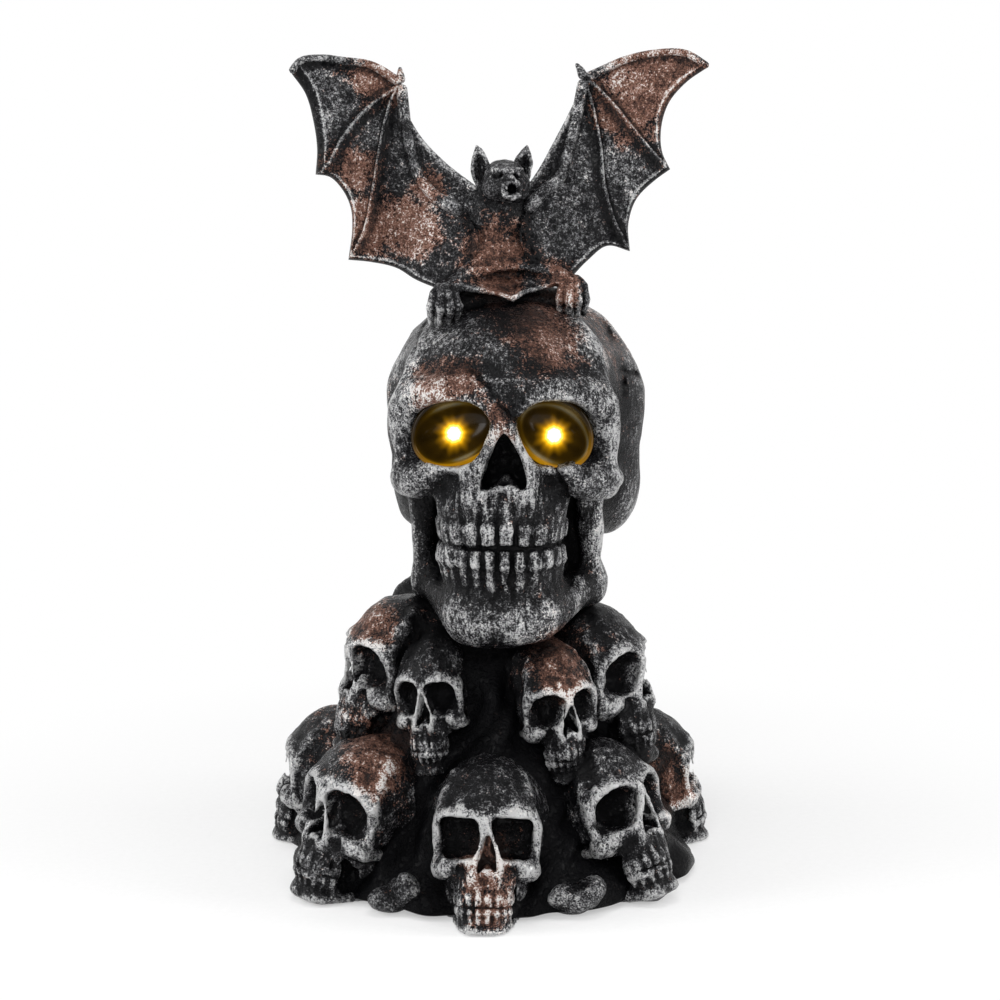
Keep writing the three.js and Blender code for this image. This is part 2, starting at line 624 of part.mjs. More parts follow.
function wingCasting(side) {
  const ribCount = ribTips.length - 1;
  const columnsOf = (rib) => ribFlankShares.map((share) => (rib + share) / ribCount);
  const columns = Array.from({ length: ribCount }, (_, rib) => columnsOf(rib));
  const flow = side > 0 ? (u) => 1 - u : (u) => u;
  const onRib = (u) => Math.abs(u * ribCount - Math.round(u * ribCount)) < ribFlankShares[1] / 2;
  const membrane = slab(
    (u, v) => wingPoint(flow(u), v, side),
    [...columns.flat(), 1].map(flow).sort((a, b) => a - b),
    3,
    (u) => (onRib(u) ? 2 * wing.boneRadius : wing.thickness),
    wingFrame,
  );
  const shoulder = [side * ribTips[ribCount][0], wingDepth(...ribTips[ribCount]), ribTips[ribCount][1]];
  const wristPlace = [side * wrist[0], wingDepth(...wrist), wrist[1]];
  const elbow = shoulder.map((value, axis) => value + (wristPlace[axis] - value) * elbowShares[0]);
  const out = elbowShares[1] * (wrist[1] - ribTips[ribCount][1]);
  const armPoints = [shoulder, [elbow[0] + side * out, elbow[1], elbow[2] - out], wristPlace];
  const arm = tube(armPoints, 1.1 * wing.boneRadius, 6, 8, wingFrame);
  const [wristX, wristY, wristZ] = wristPlace;
  const thumbTip = [wristX + side * thumb.radius, wristY - thumb.length / 2, wristZ + thumb.length];
  const knuckleRadii = [1, 1, 1].map((share) => 1.2 * share * wing.boneRadius);
  const knuckle = ellipsoid(wingFrame, wristPlace, knuckleRadii, [0, 0, 0], 10, 7);
  const claw = tube([wristPlace, thumbTip], thumb.radius, 2, 6, wingFrame);
  return cutBy(joined([membrane, arm, knuckle, claw]), [batForm(wingSeatGap), crownSpace()]);
}

// Base tray with the bay for the cells
const trayLow = tray.lift;
const trayTop = tray.lift + tray.thickness;
const ledgeZ = trayLow + door.thickness + door.gap;
const cellZ = ledgeZ + cell.radius;
const cellX = (index) => bay.middleX + (index - 0.5) * (2 * cell.radius + cell.between);
const bayWidth = 4 * cell.radius + cell.between + 2 * cell.sideGap;
const bayLength = cell.length + 2 * contact.thickness + spring.length + 4 * seatGap;
const bayTop = cellZ + cell.radius + cell.sideGap;
const doorWidth = bayWidth + 2 * door.lap;
const doorLength = bayLength + 2 * door.lap;
const doorHingeX = bay.middleX - doorWidth / 2;
const doorFreeX = bay.middleX + doorWidth / 2;
const doorScrewX = doorFreeX - doorScrew.inset;
const tabPlaces = [-tab.offset, tab.offset];

// A box given by its lowest and highest corners.
function span(low, high) {
  const middle = low.map((value, axis) => (value + high[axis]) / 2);
  return box(middle, low.map((value, axis) => high[axis] - value));
}

// A box round a place, with its width and length, from one height to another.
function block(x, y, low, high, width, length) {
  return span([x - width / 2, y - length / 2, low], [x + width / 2, y + length / 2, high]);
}

function ringPlaces(ring, firstAngle) {
  return Array.from({ length: screwCount }, (_, n) => {
    const angle = degToRad(firstAngle) + (2 * Math.PI * n) / screwCount;
    return [ring * Math.cos(angle), ring * Math.sin(angle)];
  });
}

const screwPlaces = () => ringPlaces(trayScrew.ring, 0);

function boardCorners() {
  const [alongX, alongY] = [board.width / 2 - board.postRadius, board.length / 2 - board.postRadius];
  const cornersOn = (x) => [-1, 1].map((side) => [x, side * alongY]);
  return [...cornersOn(board.middleX - alongX), ...cornersOn(board.middleX + alongX)];
}

function baseTray() {
  const sunk = trayTop - tray.thickness / 4; // what stands on the tray starts inside it
  const house = [bayWidth + 2 * bay.wall, bayLength + 2 * bay.wall];
  const bayHouse = block(bay.middleX, 0, sunk, bayTop + bay.wall, ...house);
  const lug = post(doorScrewX, 0, sunk, trayTop + doorScrew.length, doorScrew.lug, 16);
  const postTop = trayTop + board.postHeight;
  const posts = boardCorners().map(([x, y]) => post(x, y, sunk, postTop, board.postRadius, 12));
  const form = joined([post(0, 0, trayLow, trayTop, tray.radius, 48), bayHouse, lug, ...posts]);
  const low = trayLow - overrun;
  const inner = block(bay.middleX, 0, low, bayTop, bayWidth, bayLength);
  const recess = block(bay.middleX, 0, low, ledgeZ, doorWidth + 2 * door.gap, doorLength + 2 * door.gap);
  const tabHalf = tab.width / 2 + door.gap;
  const tabSlots = tabPlaces.map((y) =>
    span(
      [doorHingeX - tab.reach - door.gap, y - tabHalf, trayLow + door.thickness - door.gap],
      [doorHingeX + door.lap + overrun, y + tabHalf, trayTop + tab.thickness],
    ),
  );
  const lugTop = trayTop + doorScrew.length - door.gap;
  const doorScrewHole = post(doorScrewX, 0, low, lugTop, doorScrew.shankRadius + screwGap, 12);
  const slotLength = knob.length + knobTravel + 2 * door.gap;
  const knobSlot = block(slide.middleX, 0, low, trayTop + overrun, knob.width + 2 * door.gap, slotLength);
  const screwHoles = screwPlaces().flatMap(([x, y]) => [
    post(x, y, low, trayTop + overrun, trayScrew.shankRadius + screwGap, 12),
    post(x, y, low, trayLow + trayScrew.headHeight + screwGap, trayScrew.headRadius + screwGap, 16),
  ]);
  const slit = [contact.tabWidth + 2 * seatGap, contact.thickness + 2 * seatGap];
  const slitTop = bayTop + bay.wall + overrun;
  const contactSlots = [0, 1].map((index) => block(cellX(index), contactY(1), cellZ, slitTop, ...slit));
  return cutBy(form, [inner, recess, ...tabSlots, doorScrewHole, knobSlot, ...screwHoles, ...contactSlots]);
}

// The middle of a contact plate at either end of the bay.
const contactY = (end) => end * (bayLength / 2 - seatGap - contact.thickness / 2);

// A cell lies along Y with its spring end at the rear (end 1) or the front (end -1).
const cellMiddleY = (springEnd) => (-springEnd * spring.length) / 2;

function batteryCell(index, springEnd) {
  const middle = cellMiddleY(springEnd);
  const nubTip = middle - (springEnd * cell.length) / 2;
  const shoulder = nubTip + springEnd * cell.nubLength;
  const foot = middle + (springEnd * cell.length) / 2;
  const rear = nubTip + 2 * springEnd * cell.nubLength;
  const bar = (from, to, radius, sides) =>
    rod(cellX(index), cellZ, Math.min(from, to), Math.max(from, to), radius, sides);
  return bar(shoulder, foot, cell.radius, 24).add(bar(nubTip, rear, cell.nubRadius, 16));
}

// A contact plate, with a cone for its wound spring where it meets a cell's flat end.
function contactPlate(x, end, width) {
  const [low, high] = [cellZ - contact.width / 2, cellZ + contact.width / 2];
  return block(x, contactY(end), low, high, width, contact.thickness);
}

function springCone(index, end) {
  const face = contactY(end) - (end * contact.thickness) / 4;
  const length = spring.length + contact.thickness / 4;
  const cone = new THREE.CylinderGeometry(spring.tipRadius, spring.radius, length, 16);
  const turn = end > 0 ? [180, 0, 0] : [0, 0, 0];
  return solidOf(cone.applyMatrix4(placing([cellX(index), face - (end * length) / 2, cellZ], turn)));
}

function solderTab(index) {
  const top = bayTop + bay.wall + contact.tabHeight;
  return block(cellX(index), contactY(1), cellZ, top, contact.tabWidth, contact.thickness);
}

const bridgeWidth = 2 * contact.width + cell.between;
const bridgeContact = () => contactPlate(bay.middleX, -1, bridgeWidth).add(springCone(1, -1));
const positiveContact = () => contactPlate(cellX(1), 1, contact.width).add(solderTab(1));
const negativeContact = () =>
  joined([contactPlate(cellX(0), 1, contact.width), solderTab(0), springCone(0, 1)]);

// The door hinges on two tabs that hook over the tray, and one screw holds its free edge.
function batteryDoor() {
  const top = trayLow + door.thickness;
  const panel = block(bay.middleX, 0, trayLow, top, doorWidth, doorLength);
  const tabs = tabPlaces.flatMap((y) => {
    const low = top + door.gap / 2;
    const [front, rear, reach] = [y - tab.width / 2, y + tab.width / 2, doorHingeX + tab.reach];
    return [
      span([doorHingeX - tab.reach, front, low], [reach, rear, low + tab.thickness]),
      span([doorHingeX, front, trayLow + door.thickness / 2], [reach, rear, low + tab.thickness / 2]),
    ];
  });
  const below = trayLow - overrun;
  const headTop = trayLow + doorScrew.headHeight + screwGap;
  const head = post(doorScrewX, 0, below, headTop, doorScrew.headRadius + screwGap, 16);
  const hole = post(doorScrewX, 0, below, top + overrun, doorScrew.shankRadius + screwGap, 12);
  const fingerX = doorFreeX - grip.inset;
  const finger = block(fingerX, grip.offset, below, trayLow + grip.depth, grip.length, grip.width);
  return cutBy(joined([panel, ...tabs]), [head, hole, finger]);
}

function doorScrewForm() {
  const head = post(doorScrewX, 0, trayLow, trayLow + doorScrew.headHeight, doorScrew.headRadius, 16);
  return head.add(post(doorScrewX, 0, trayLow, ledgeZ + doorScrew.length / 2, doorScrew.shankRadius, 12));
}

function trayScrewForm(x, y) {
  const head = post(x, y, trayLow, trayLow + trayScrew.headHeight, trayScrew.headRadius, 16);
  return head.add(post(x, y, trayLow, trayLow + trayScrew.length, trayScrew.shankRadius, 12));
}

// Slide switch: a body open below over the slot, and a knob whose head rides inside it.
function switchBody() {
  const shell = block(slide.middleX, 0, trayTop, trayTop + slide.height, slide.width, slide.length);
  const cavity = [slide.width - 2 * slide.wall, slide.length - 2 * slide.wall];
  const cavityTop = trayTop + slide.cavityHeight;
  return shell.subtract(block(slide.middleX, 0, trayTop - overrun, cavityTop, ...cavity));
}

function switchKnob() {
  const y = -knobTravel / 2;
  const [tip, low] = [trayLow - knob.below, trayTop + seatGap];
  const stem = block(slide.middleX, y, tip, trayTop + knob.headHeight, knob.width, knob.length);
  return stem.add(block(slide.middleX, y, low, low + knob.headHeight, knob.headWidth, knob.length));
}

// Leads, each one run of wire inside the casting
const boardTop = trayTop + board.postHeight + board.thickness;

function batteryLead(index) {
  const height = bayTop + bay.wall + contact.tabHeight / 2;
  const start = cellX(index) + contact.tabWidth / 2 + seatGap;
  const over = height + contact.tabHeight + (1 - index) * 4 * wireRadius; // one lead crosses over the other
  const end = [board.middleX - index * chip.width, board.length / 2 - 4 * wireRadius];
  const landing = boardTop + wireRadius + seatGap;
  return tube(
    [
      [start, contactY(1), height],
      [start + 4 * wireRadius, contactY(1), height],
      [cellX(1) + contact.tabWidth * index * 3, contactY(1), over],
      [(cellX(1) + end[0]) / 2, contactY(1), over],
      [end[0], end[1], over],
      [end[0], end[1], landing],
    ],
    wireRadius, 24, 6,
  );
}

function lampLead(side) {
  const [x, y, z] = lampMiddle(side);
  const rear = y + led.tipDepth + led.length + seatGap;
  const points = [rear, rear + 4 * led.radius, rear + 8 * led.radius].map((place) =>
    new THREE.Vector3(x, place, z).applyMatrix4(skullFrame).toArray(),
  );
  const holeX = skullAxis.x + (side * wireHoleRadius) / 2;
  const landing = [board.middleX + (side * chip.width) / 2, -board.length / 2 + 6 * wireRadius];
  const low = boardTop + wireRadius + seatGap;
  return tube(
    [
      ...points,
      [holeX, skullAxis.y, hollowMiddleZ - ofSkull(hollowShares.radii[2]) / 2],
      [holeX, skullAxis.y, neckTop],
      [holeX, skullAxis.y, stack.height],
      [holeX, skullAxis.y, hollow.height],
      [(holeX + landing[0]) / 2, (skullAxis.y + landing[1]) / 2, (hollow.height + low) / 2],
      [...landing, low + chip.length],
      [...landing, low],
    ],
    wireRadius, 32, 6,
  );
}

// The assembly
const group = new THREE.Group();
const object = new THREE.Group();
group.add(object);

function addPiece(name, solid, material) {
  const { vertProperties, triVerts } = solid.getMesh();
  const geometry = new THREE.BufferGeometry();
  geometry.setAttribute("position", new THREE.BufferAttribute(vertProperties, 3));
  geometry.setIndex(new THREE.BufferAttribute(triVerts, 1));
  geometry.computeVertexNormals();
  const mesh = new THREE.Mesh(geometry, material);
  mesh.name = name;
  object.add(mesh);
  return mesh;
}

const sides = [
  ["left", -1],
  ["right", 1],
];

addPiece("stack_casting", stackCasting(), antiquedResin);
addPiece("skull_casting", skullCasting(), antiquedResin);
addPiece("bat_body", batBody(), antiquedResin);
for (const [name, side] of sides) {
  addPiece(`${name}_wing`, wingCasting(side), antiquedResin);
  addPiece(`${name}_eye_lens`, eyeLens(side), amberLens);
  addPiece(`${name}_led`, lamp(side), amberLamp);
  addPiece(`${name}_led_wire`, lampLead(side), side < 0 ? redSleeve : blackSleeve);
}
addPiece("base_tray", baseTray(), blackPlastic);
addPiece("battery_1", batteryCell(0, 1), cellSleeve);
addPiece("battery_2", batteryCell(1, -1), cellSleeve);
addPiece("bridge_contact", bridgeContact(), nickel);
addPiece("positive_contact", positiveContact(), nickel);
addPiece("negative_contact", negativeContact(), nickel);
addPiece("positive_lead", batteryLead(1), redSleeve);
addPiece("negative_lead", batteryLead(0), blackSleeve);
addPiece("battery_door", batteryDoor(), blackPlastic);
addPiece("battery_door_screw", doorScrewForm(), nickel);
addPiece("switch_body", switchBody(), blackPlastic);
addPiece("switch_knob", switchKnob(), blackPlastic);
const boardForm = block(board.middleX, 0, boardTop - board.thickness, boardTop, board.width, board.length);
addPiece("control_board", boardForm, boardGreen);
const chipForm = block(board.middleX, 0, boardTop, boardTop + chip.height, chip.width, chip.length);
addPiece("timer_chip", chipForm, blackPlastic);
screwPlaces().forEach(([x, y], n) => addPiece(`tray_screw_${n + 1}`, trayScrewForm(x, y), nickel));
ringPlaces(foot.ring, foot.firstAngle).forEach(([x, y], n) =>
  addPiece(`foot_${n + 1}`, post(x, y, 0, tray.lift, foot.radius, 20), blackRubber),
);

// The object stands on the table with its box's middle over the origin.
const middle = new THREE.Box3().setFromObject(object, true).getCenter(new THREE.Vector3());
object.position.set(-middle.x, -middle.y, 0);

export default group;
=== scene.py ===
# %% [markdown]
# # A tabletop skull decoration in antiqued resin
# A bat clings to the crown of a large skull, and the skull stands on a heap of twelve small ones.
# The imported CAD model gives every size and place. This script dresses it: cast bone, fur, wing skin,
# amber bowls with their lamps, and the paint, which is black lacquer brushed over with silver and copper.

import json
import math

import bpy
import numpy as np
from mathutils import Matrix, Vector


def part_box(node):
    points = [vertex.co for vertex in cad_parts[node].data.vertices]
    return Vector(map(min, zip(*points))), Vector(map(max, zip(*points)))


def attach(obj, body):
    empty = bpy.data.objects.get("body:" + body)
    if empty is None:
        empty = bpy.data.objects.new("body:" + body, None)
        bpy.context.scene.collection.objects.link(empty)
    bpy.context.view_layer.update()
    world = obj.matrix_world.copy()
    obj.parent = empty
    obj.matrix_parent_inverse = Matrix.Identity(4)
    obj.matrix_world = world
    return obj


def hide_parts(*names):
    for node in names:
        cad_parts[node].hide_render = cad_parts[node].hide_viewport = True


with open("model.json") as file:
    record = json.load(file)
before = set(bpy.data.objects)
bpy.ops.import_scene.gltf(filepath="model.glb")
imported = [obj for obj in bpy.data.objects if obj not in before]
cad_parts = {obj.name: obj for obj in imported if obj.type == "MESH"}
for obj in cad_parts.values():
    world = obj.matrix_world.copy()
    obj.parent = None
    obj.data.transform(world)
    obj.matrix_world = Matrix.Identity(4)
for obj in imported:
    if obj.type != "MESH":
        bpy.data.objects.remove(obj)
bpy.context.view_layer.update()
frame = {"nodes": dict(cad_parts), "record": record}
MM = 0.001

# %% [markdown]
# ## Where the parts stand
# The castings were modelled in their own frames: the large skull from its chin, a small skull from its
# chin too, and the bat from its claws. A frame here is a 4 by 4 matrix in millimetres, the same as in the
# CAD source, so a shape carved round its own origin lands where the solid is.

# %% Frames in millimetres
SKULL_HEIGHT, STACK_HEIGHT = 144.0, 107.0
BAT_PLACE = (5, -10, 245)


def placing(at=(0, 0, 0), turn=(0, 0, 0)):
    """Turns about X, then Y, then Z by degrees, and then moves."""
    spin = Matrix.Identity(4)
    for axis, degrees in zip("XYZ", turn):
        spin = Matrix.Rotation(math.radians(degrees), 4, axis) @ spin
    return np.array(Matrix.Translation(at) @ spin)


def placed(points, matrix, scale=1.0):
    """Points times a scale, through a matrix, in millimetres."""
    return points * scale @ matrix[:3, :3].T + matrix[:3, 3]


SKULL_FRAME = placing((9.5, -4, STACK_HEIGHT), (-0.5, 0, -5.5))
BAT_FRAME = placing(BAT_PLACE, (0, 0, 8))
WING_FRAME = placing(BAT_PLACE)
print("skull frame", SKULL_FRAME[:3, 3], "bat frame", BAT_FRAME[:3, 3])

# %% [markdown]
# ## Camera
# The photograph looks slightly down on the piece from in front, with a long lens. The camera is made first.

# %% Camera
# Place in metres, tilt in degrees, sensor and focal length in millimetres, shift in widths of the picture
CAMERA_PLACE, CAMERA_TILT = (0.0, -1.066, 0.346), 80.25
SENSOR, FOCAL_LENGTH, SHIFT = 36.0, 90.25, (0.010, -0.006)
lens = bpy.data.cameras.new("camera")
camera = bpy.data.objects.new("camera", lens)
bpy.context.collection.objects.link(camera)
bpy.context.scene.camera = camera
camera.location = CAMERA_PLACE
camera.rotation_euler = (math.radians(CAMERA_TILT), 0.0, 0.0)
lens.sensor_width, lens.lens = SENSOR, FOCAL_LENGTH
lens.shift_x, lens.shift_y = SHIFT
lens.clip_start = 0.05
print("camera at", tuple(camera.location))

# %% [markdown]
# ## Clay
# Cast bone has no straight profile and no even section, so a lofted surface can't hold its sockets, teeth
# and cracks. These forms are carved instead: a block of grid points says at each point how far it lies
# outside the form. Adding a shape takes the lesser of two distances and cutting takes the greater, each
# rounded where they meet, as a thumb rounds clay.

# %% Shapes to carve with
FAR = 40.0


def ball(at, radii, turn=(0, 0, 0)):
    """An ellipsoid: its scaled radius less one, over the slope of that field, is close to a distance."""
    at, radii = np.array(at, float), np.array(radii, float)
    back = placing(turn=turn)[:3, :3].T
    reach = np.sqrt(((back.T * radii) ** 2).sum(1))

    def distance(x, y, z):
        x, y, z = x - at[0], y - at[1], z - at[2]
        local = [row[0] * x + row[1] * y + row[2] * z for row in back]
        near = sum((a / r) ** 2 for a, r in zip(local, radii)) ** 0.5
        slope = sum((a / r**2) ** 2 for a, r in zip(local, radii)) ** 0.5
        return near * (near - 1) / np.maximum(slope, 1e-6)

    return at - reach, at + reach, distance


def limb(start, end, radius, end_radius=None):
    """A rod with round ends that tapers: the distance to a line, less the radius at the nearest place."""
    a, b = np.array(start, float), np.array(end, float)
    last = radius if end_radius is None else end_radius

    def distance(x, y, z):
        run = b - a
        t = ((x - a[0]) * run[0] + (y - a[1]) * run[1] + (z - a[2]) * run[2]) / (run @ run)
        t = np.clip(t, 0, 1)
        gap = sum((p - a[i] - t * run[i]) ** 2 for i, p in enumerate((x, y, z))) ** 0.5
        return gap - (radius + (last - radius) * t)

    reach = max(radius, last)
    return np.minimum(a, b) - reach, np.maximum(a, b) + reach, distance


def brick(at, halves, radius, turn=(0, 0, 0)):
    """A rounded box: how far a place is beyond the shrunken box, less the rounding."""
    at, halves = np.array(at, float), np.array(halves, float) - radius
    back = placing(turn=turn)[:3, :3].T
    reach = (np.abs(back.T) * (halves + radius)).sum(1)

    def distance(x, y, z):
        x, y, z = x - at[0], y - at[1], z - at[2]
        over = [np.abs(row[0] * x + row[1] * y + row[2] * z) - h for row, h in zip(back, halves)]
        outside = sum(np.maximum(o, 0) ** 2 for o in over) ** 0.5
        inside = np.minimum(np.maximum(np.maximum(over[0], over[1]), over[2]), 0)
        return outside + inside - radius

    return at - reach, at + reach, distance


def punch(outline, front, back):
    """A straight hole along y with a drawn outline of (x, z) points: the distance to the nearest side of
    the outline, below 0 inside it, where a ray to the right crosses an odd number of sides."""
    corners = np.array(outline, float)

    def distance(x, y, z):
        least, inside = np.inf, False
        for a, b in zip(corners, np.roll(corners, -1, 0)):
            run = b - a
            t = np.clip(((x - a[0]) * run[0] + (z - a[1]) * run[1]) / (run @ run), 0, 1)
            least = np.minimum(least, (x - a[0] - t * run[0]) ** 2 + (z - a[1] - t * run[1]) ** 2)
            rise = run[1] if run[1] else 1e-9
            crosses = ((a[1] > z) != (b[1] > z)) & (x < a[0] + (z - a[1]) / rise * run[0])
            inside = inside ^ crosses
        flat = np.where(inside, -1, 1) * np.sqrt(least)
        return np.maximum(np.maximum(flat, y - back), front - y)

    low, high = corners.min(0), corners.max(0)
    return np.array([low[0], front, low[1]]), np.array([high[0], back, high[1]]), distance


def strand(points, radii):
    """Limbs end to end through a list of points, with one radius at each: the least of their distances, so
    that a blend goes round the whole strand once and leaves no beads."""
    parts = [limb(a, b, ra, rb) for a, b, ra, rb in zip(points, points[1:], radii, radii[1:])]

    def distance(x, y, z):
        least = parts[0][2](x, y, z)
        for part in parts[1:]:
            least = np.minimum(least, part[2](x, y, z))
        return least

    return np.min([part[0] for part in parts], 0), np.max([part[1] for part in parts], 0), distance


# %% The block of clay
class Clay:
    """A block of grid points that holds at each how far it lies outside the form, below 0 inside it."""

    def __init__(self, x, y, z):
        self.axes = [np.asarray(axis, np.float32) for axis in (x, y, z)]
        self.far = np.full([len(axis) for axis in self.axes], FAR, np.float32)

    def window(self, low, high, margin):
        """The part of the block round a shape, and its three axes ready to be combined."""
        cut = tuple(
            slice(*np.searchsorted(axis, (lo - margin, hi + margin)))
            for axis, lo, hi in zip(self.axes, low, high)
        )
        x, y, z = (axis[c] for axis, c in zip(self.axes, cut))
        return cut, x[:, None, None], y[None, :, None], z[None, None, :]

    def add(self, shape, blend=4.0):
        """The lesser distance, lowered by a parabola where both are close, which fills the corner."""
        low, high, distance = shape
        w, x, y, z = self.window(low, high, blend + 3)
        a, b = self.far[w], np.asarray(distance(x, y, z), np.float32)
        soft = np.maximum(blend - np.abs(a - b), 0) / blend
        self.far[w] = np.minimum(a, b) - soft * soft * (blend / 4)

    def cut(self, shape, blend=2.0):
        """The greater of the block's distance and the shape's turned inside out, rounded the same way."""
        low, high, distance = shape
        w, x, y, z = self.window(low, high, blend + 3)
        a, b = self.far[w], -np.asarray(distance(x, y, z), np.float32)
        soft = np.maximum(blend - np.abs(a - b), 0) / blend
        self.far[w] = np.maximum(a, b) + soft * soft * (blend / 4)

    def crack(self, points, width, depth):
        """A crack drawn on the front as (x, z) points: a groove whose depth falls off with the square of
        the distance to the line, as a bell does, and to under a third at its two ends."""
        points = np.array(points, float)
        low = (points[:, 0].min(), -90, points[:, 1].min())
        high = (points[:, 0].max(), 10, points[:, 1].max())
        w, x, y, z = self.window(low, high, 3 * width)
        groove, last = 0, len(points) - 1
        for n, (a, b) in enumerate(zip(points, points[1:])):
            run = b - a
            t = np.clip(((x - a[0]) * run[0] + (z - a[1]) * run[1]) / (run @ run), 0, 1)
            aside = ((x - a[0] - t * run[0]) ** 2 + (z - a[1] - t * run[1]) ** 2) / width**2
            fade = 1 - 0.7 * (2 * (n + t) / last - 1) ** 2
            groove = np.maximum(groove, np.exp(-aside) * fade)
        near = np.clip(1.5 - np.abs(self.far[w]) / 4, 0, 1)
        self.far[w] += (depth * groove * near).astype(np.float32)

    def roughen(self, layers, seed):
        """Adds smooth random fields to the distance near the skin: [size of a lump, height] pairs."""
        near = np.clip(2 - np.abs(self.far) / 4, 0, 1)
        for n, (size, height) in enumerate(layers):
            self.far += near * height * self.noise(size, seed + n)

    def noise(self, size, seed):
        """Random numbers on a coarse grid, blended between its points by a smooth step along each axis."""
        rng = np.random.default_rng(seed)
        counts = [int((axis[-1] - axis[0]) / size) + 3 for axis in self.axes]
        value = rng.standard_normal(counts).astype(np.float32)
        for n, axis in enumerate(self.axes):
            place = (axis - axis[0]) / size
            whole = place.astype(int)
            part = place - whole
            part = part * part * (3 - 2 * part)
            weights = np.zeros((len(axis), counts[n]), np.float32)
            weights[np.arange(len(axis)), whole] = 1 - part
            weights[np.arange(len(axis)), whole + 1] = part
            value = np.moveaxis(np.tensordot(weights, value, (1, n)), 0, n)
        return value


# %% [markdown]
# ## From clay to a skin
# The skin is found with surface nets: each small cube that the surface crosses gets one point, the mean of
# the places where its edges are crossed, and each crossed edge of the grid gets a four-sided face between
# the four cubes round it. The mesh that comes out is closed, even and faces outwards.

# %% Skin and relief
EDGES = [(a, b) for a in range(8) for b in range(a + 1, 8) if (a ^ b) in (1, 2, 4)]


def skin(clay):
    """Points and faces of the surface where the clay's distance is 0."""
    far = clay.far
    inside = far < 0
    last = [count - 1 for count in far.shape]
    shifts = [((n >> 2) & 1, (n >> 1) & 1, n & 1) for n in range(8)]
    blocks = [inside[i : last[0] + i, j : last[1] + j, k : last[2] + k] for i, j, k in shifts]
    crossed = np.logical_or.reduce(blocks) & ~np.logical_and.reduce(blocks)
    cells = np.array(np.nonzero(crossed))
    corner = [far[cells[0] + i, cells[1] + j, cells[2] + k] for i, j, k in shifts]
    total, hits = np.zeros((3, cells.shape[1])), np.zeros(cells.shape[1])
    for a, b in EDGES:
        hit = (corner[a] < 0) != (corner[b] < 0)
        gap = np.where(hit, corner[a] - corner[b], 1)
        t = np.where(hit, corner[a] / gap, 0)
        for n in range(3):
            total[n] += hit * (shifts[a][n] + t * (shifts[b][n] - shifts[a][n]))
        hits += hit
    points = np.empty((cells.shape[1], 3))
    for n, axis in enumerate(clay.axes):
        start = axis[cells[n]]
        points[:, n] = start + total[n] / hits * (axis[cells[n] + 1] - start)
    names = np.full(crossed.shape, -1)
    names[tuple(cells)] = np.arange(cells.shape[1])
    faces = []
    for n in range(3):
        u, v = (n + 1) % 3, (n + 2) % 3
        here = np.take(inside, range(last[n]), n)
        edge = np.array(np.nonzero(here != np.take(inside, range(1, last[n] + 1), n)))
        edge = edge[:, (edge[u] > 0) & (edge[v] > 0) & (edge[u] < last[u]) & (edge[v] < last[v])]
        ring = []
        for du, dv in ((1, 1), (0, 1), (0, 0), (1, 0)):
            cell = edge.copy()
            cell[u] -= du
            cell[v] -= dv
            ring.append(names[tuple(cell)])
        ring = np.stack(ring, 1)
        outward = here[tuple(edge)]
        faces.append(np.where(outward[:, None], ring, ring[:, ::-1]))
    return points, np.concatenate(faces)


def blurred(values, reach):
    """A running mean along each axis, taken twice, so that the blur has soft shoulders."""
    for axis in range(3):
        for _ in range(2):
            pad = [(0, 0)] * 3
            pad[axis] = (reach + 1, reach)
            total = np.cumsum(np.pad(values, pad, mode="edge"), axis=axis, dtype=np.float32)
            count = total.shape[axis]
            high = np.take(total, range(2 * reach + 1, count), axis)
            low = np.take(total, range(0, count - 2 * reach - 1), axis)
            values = (high - low) / (2 * reach + 1)
    return values


def read(clay, values, points):
    """Values of the block at any points, blended between the eight grid points round each."""
    index, part = [], []
    for n, axis in enumerate(clay.axes):
        i = np.clip(np.searchsorted(axis, points[:, n]) - 1, 0, len(axis) - 2)
        index.append(i)
        part.append(np.clip((points[:, n] - axis[i]) / (axis[i + 1] - axis[i]), 0, 1))
    total = 0
    for n in range(8):
        shift = ((n >> 2) & 1, (n >> 1) & 1, n & 1)
        weight = np.prod([p if s else 1 - p for s, p in zip(shift, part)], axis=0)
        total = total + weight * values[tuple(i + s for s, i in zip(shift, index))]
    return total


def relief(clay, points, fine, broad):
    """How far the skin stands proud of what is round it: the mean distance nearby is above 0 on a ridge
    and below 0 in a groove. Once over a fine reach and once over a broad one, both in grid steps."""
    ridge = read(clay, blurred(np.clip(clay.far, -3, 3), fine), points)
    swell = read(clay, blurred(np.clip(clay.far, -8, 8), broad), points)
    return ridge, swell


def keep(piece, label, numbers):
    """Keeps one number at each point of a piece, for its material to read."""
    layers = piece.data.attributes
    layer = layers[label] if label in layers else layers.new(label, "FLOAT", "POINT")
    layer.data.foreach_set("value", np.asarray(numbers, np.float32))


def mesh_object(name, points, faces, smooth):
    """An object from points in millimetres. A face whose last two numbers are the same has three sides."""
    mesh = bpy.data.meshes.new(name)
    sides = [face[:3] if face[2] == face[3] else face for face in np.asarray(faces).tolist()]
    mesh.from_pydata((np.asarray(points) * MM).tolist(), [], sides)
    mesh.polygons.foreach_set("use_smooth", np.full(len(mesh.polygons), smooth))
    mesh.update()
    made_object = bpy.data.objects.new(name, mesh)
    bpy.context.collection.objects.link(made_object)
    return made_object


def put(name, points, faces, values=None):
    """A smooth piece on the root body, with named numbers at its points."""
    piece = mesh_object(name, points, faces, True)
    for label, numbers in (values or {}).items():
        keep(piece, label, numbers)
    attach(piece, "root")
    return piece


print("clay tools ready")

# %% [markdown]
# ## The skull
# One recipe carves every skull here, in a frame 144 mm high: brain case, forehead, brows, cheekbones, jaw,
# and then the sockets, nose, temples, teeth and cracks. The maker's small skulls are squarer and coarser
# than the large one, so the recipe takes a few settings for brow, socket, jaw and lumps.


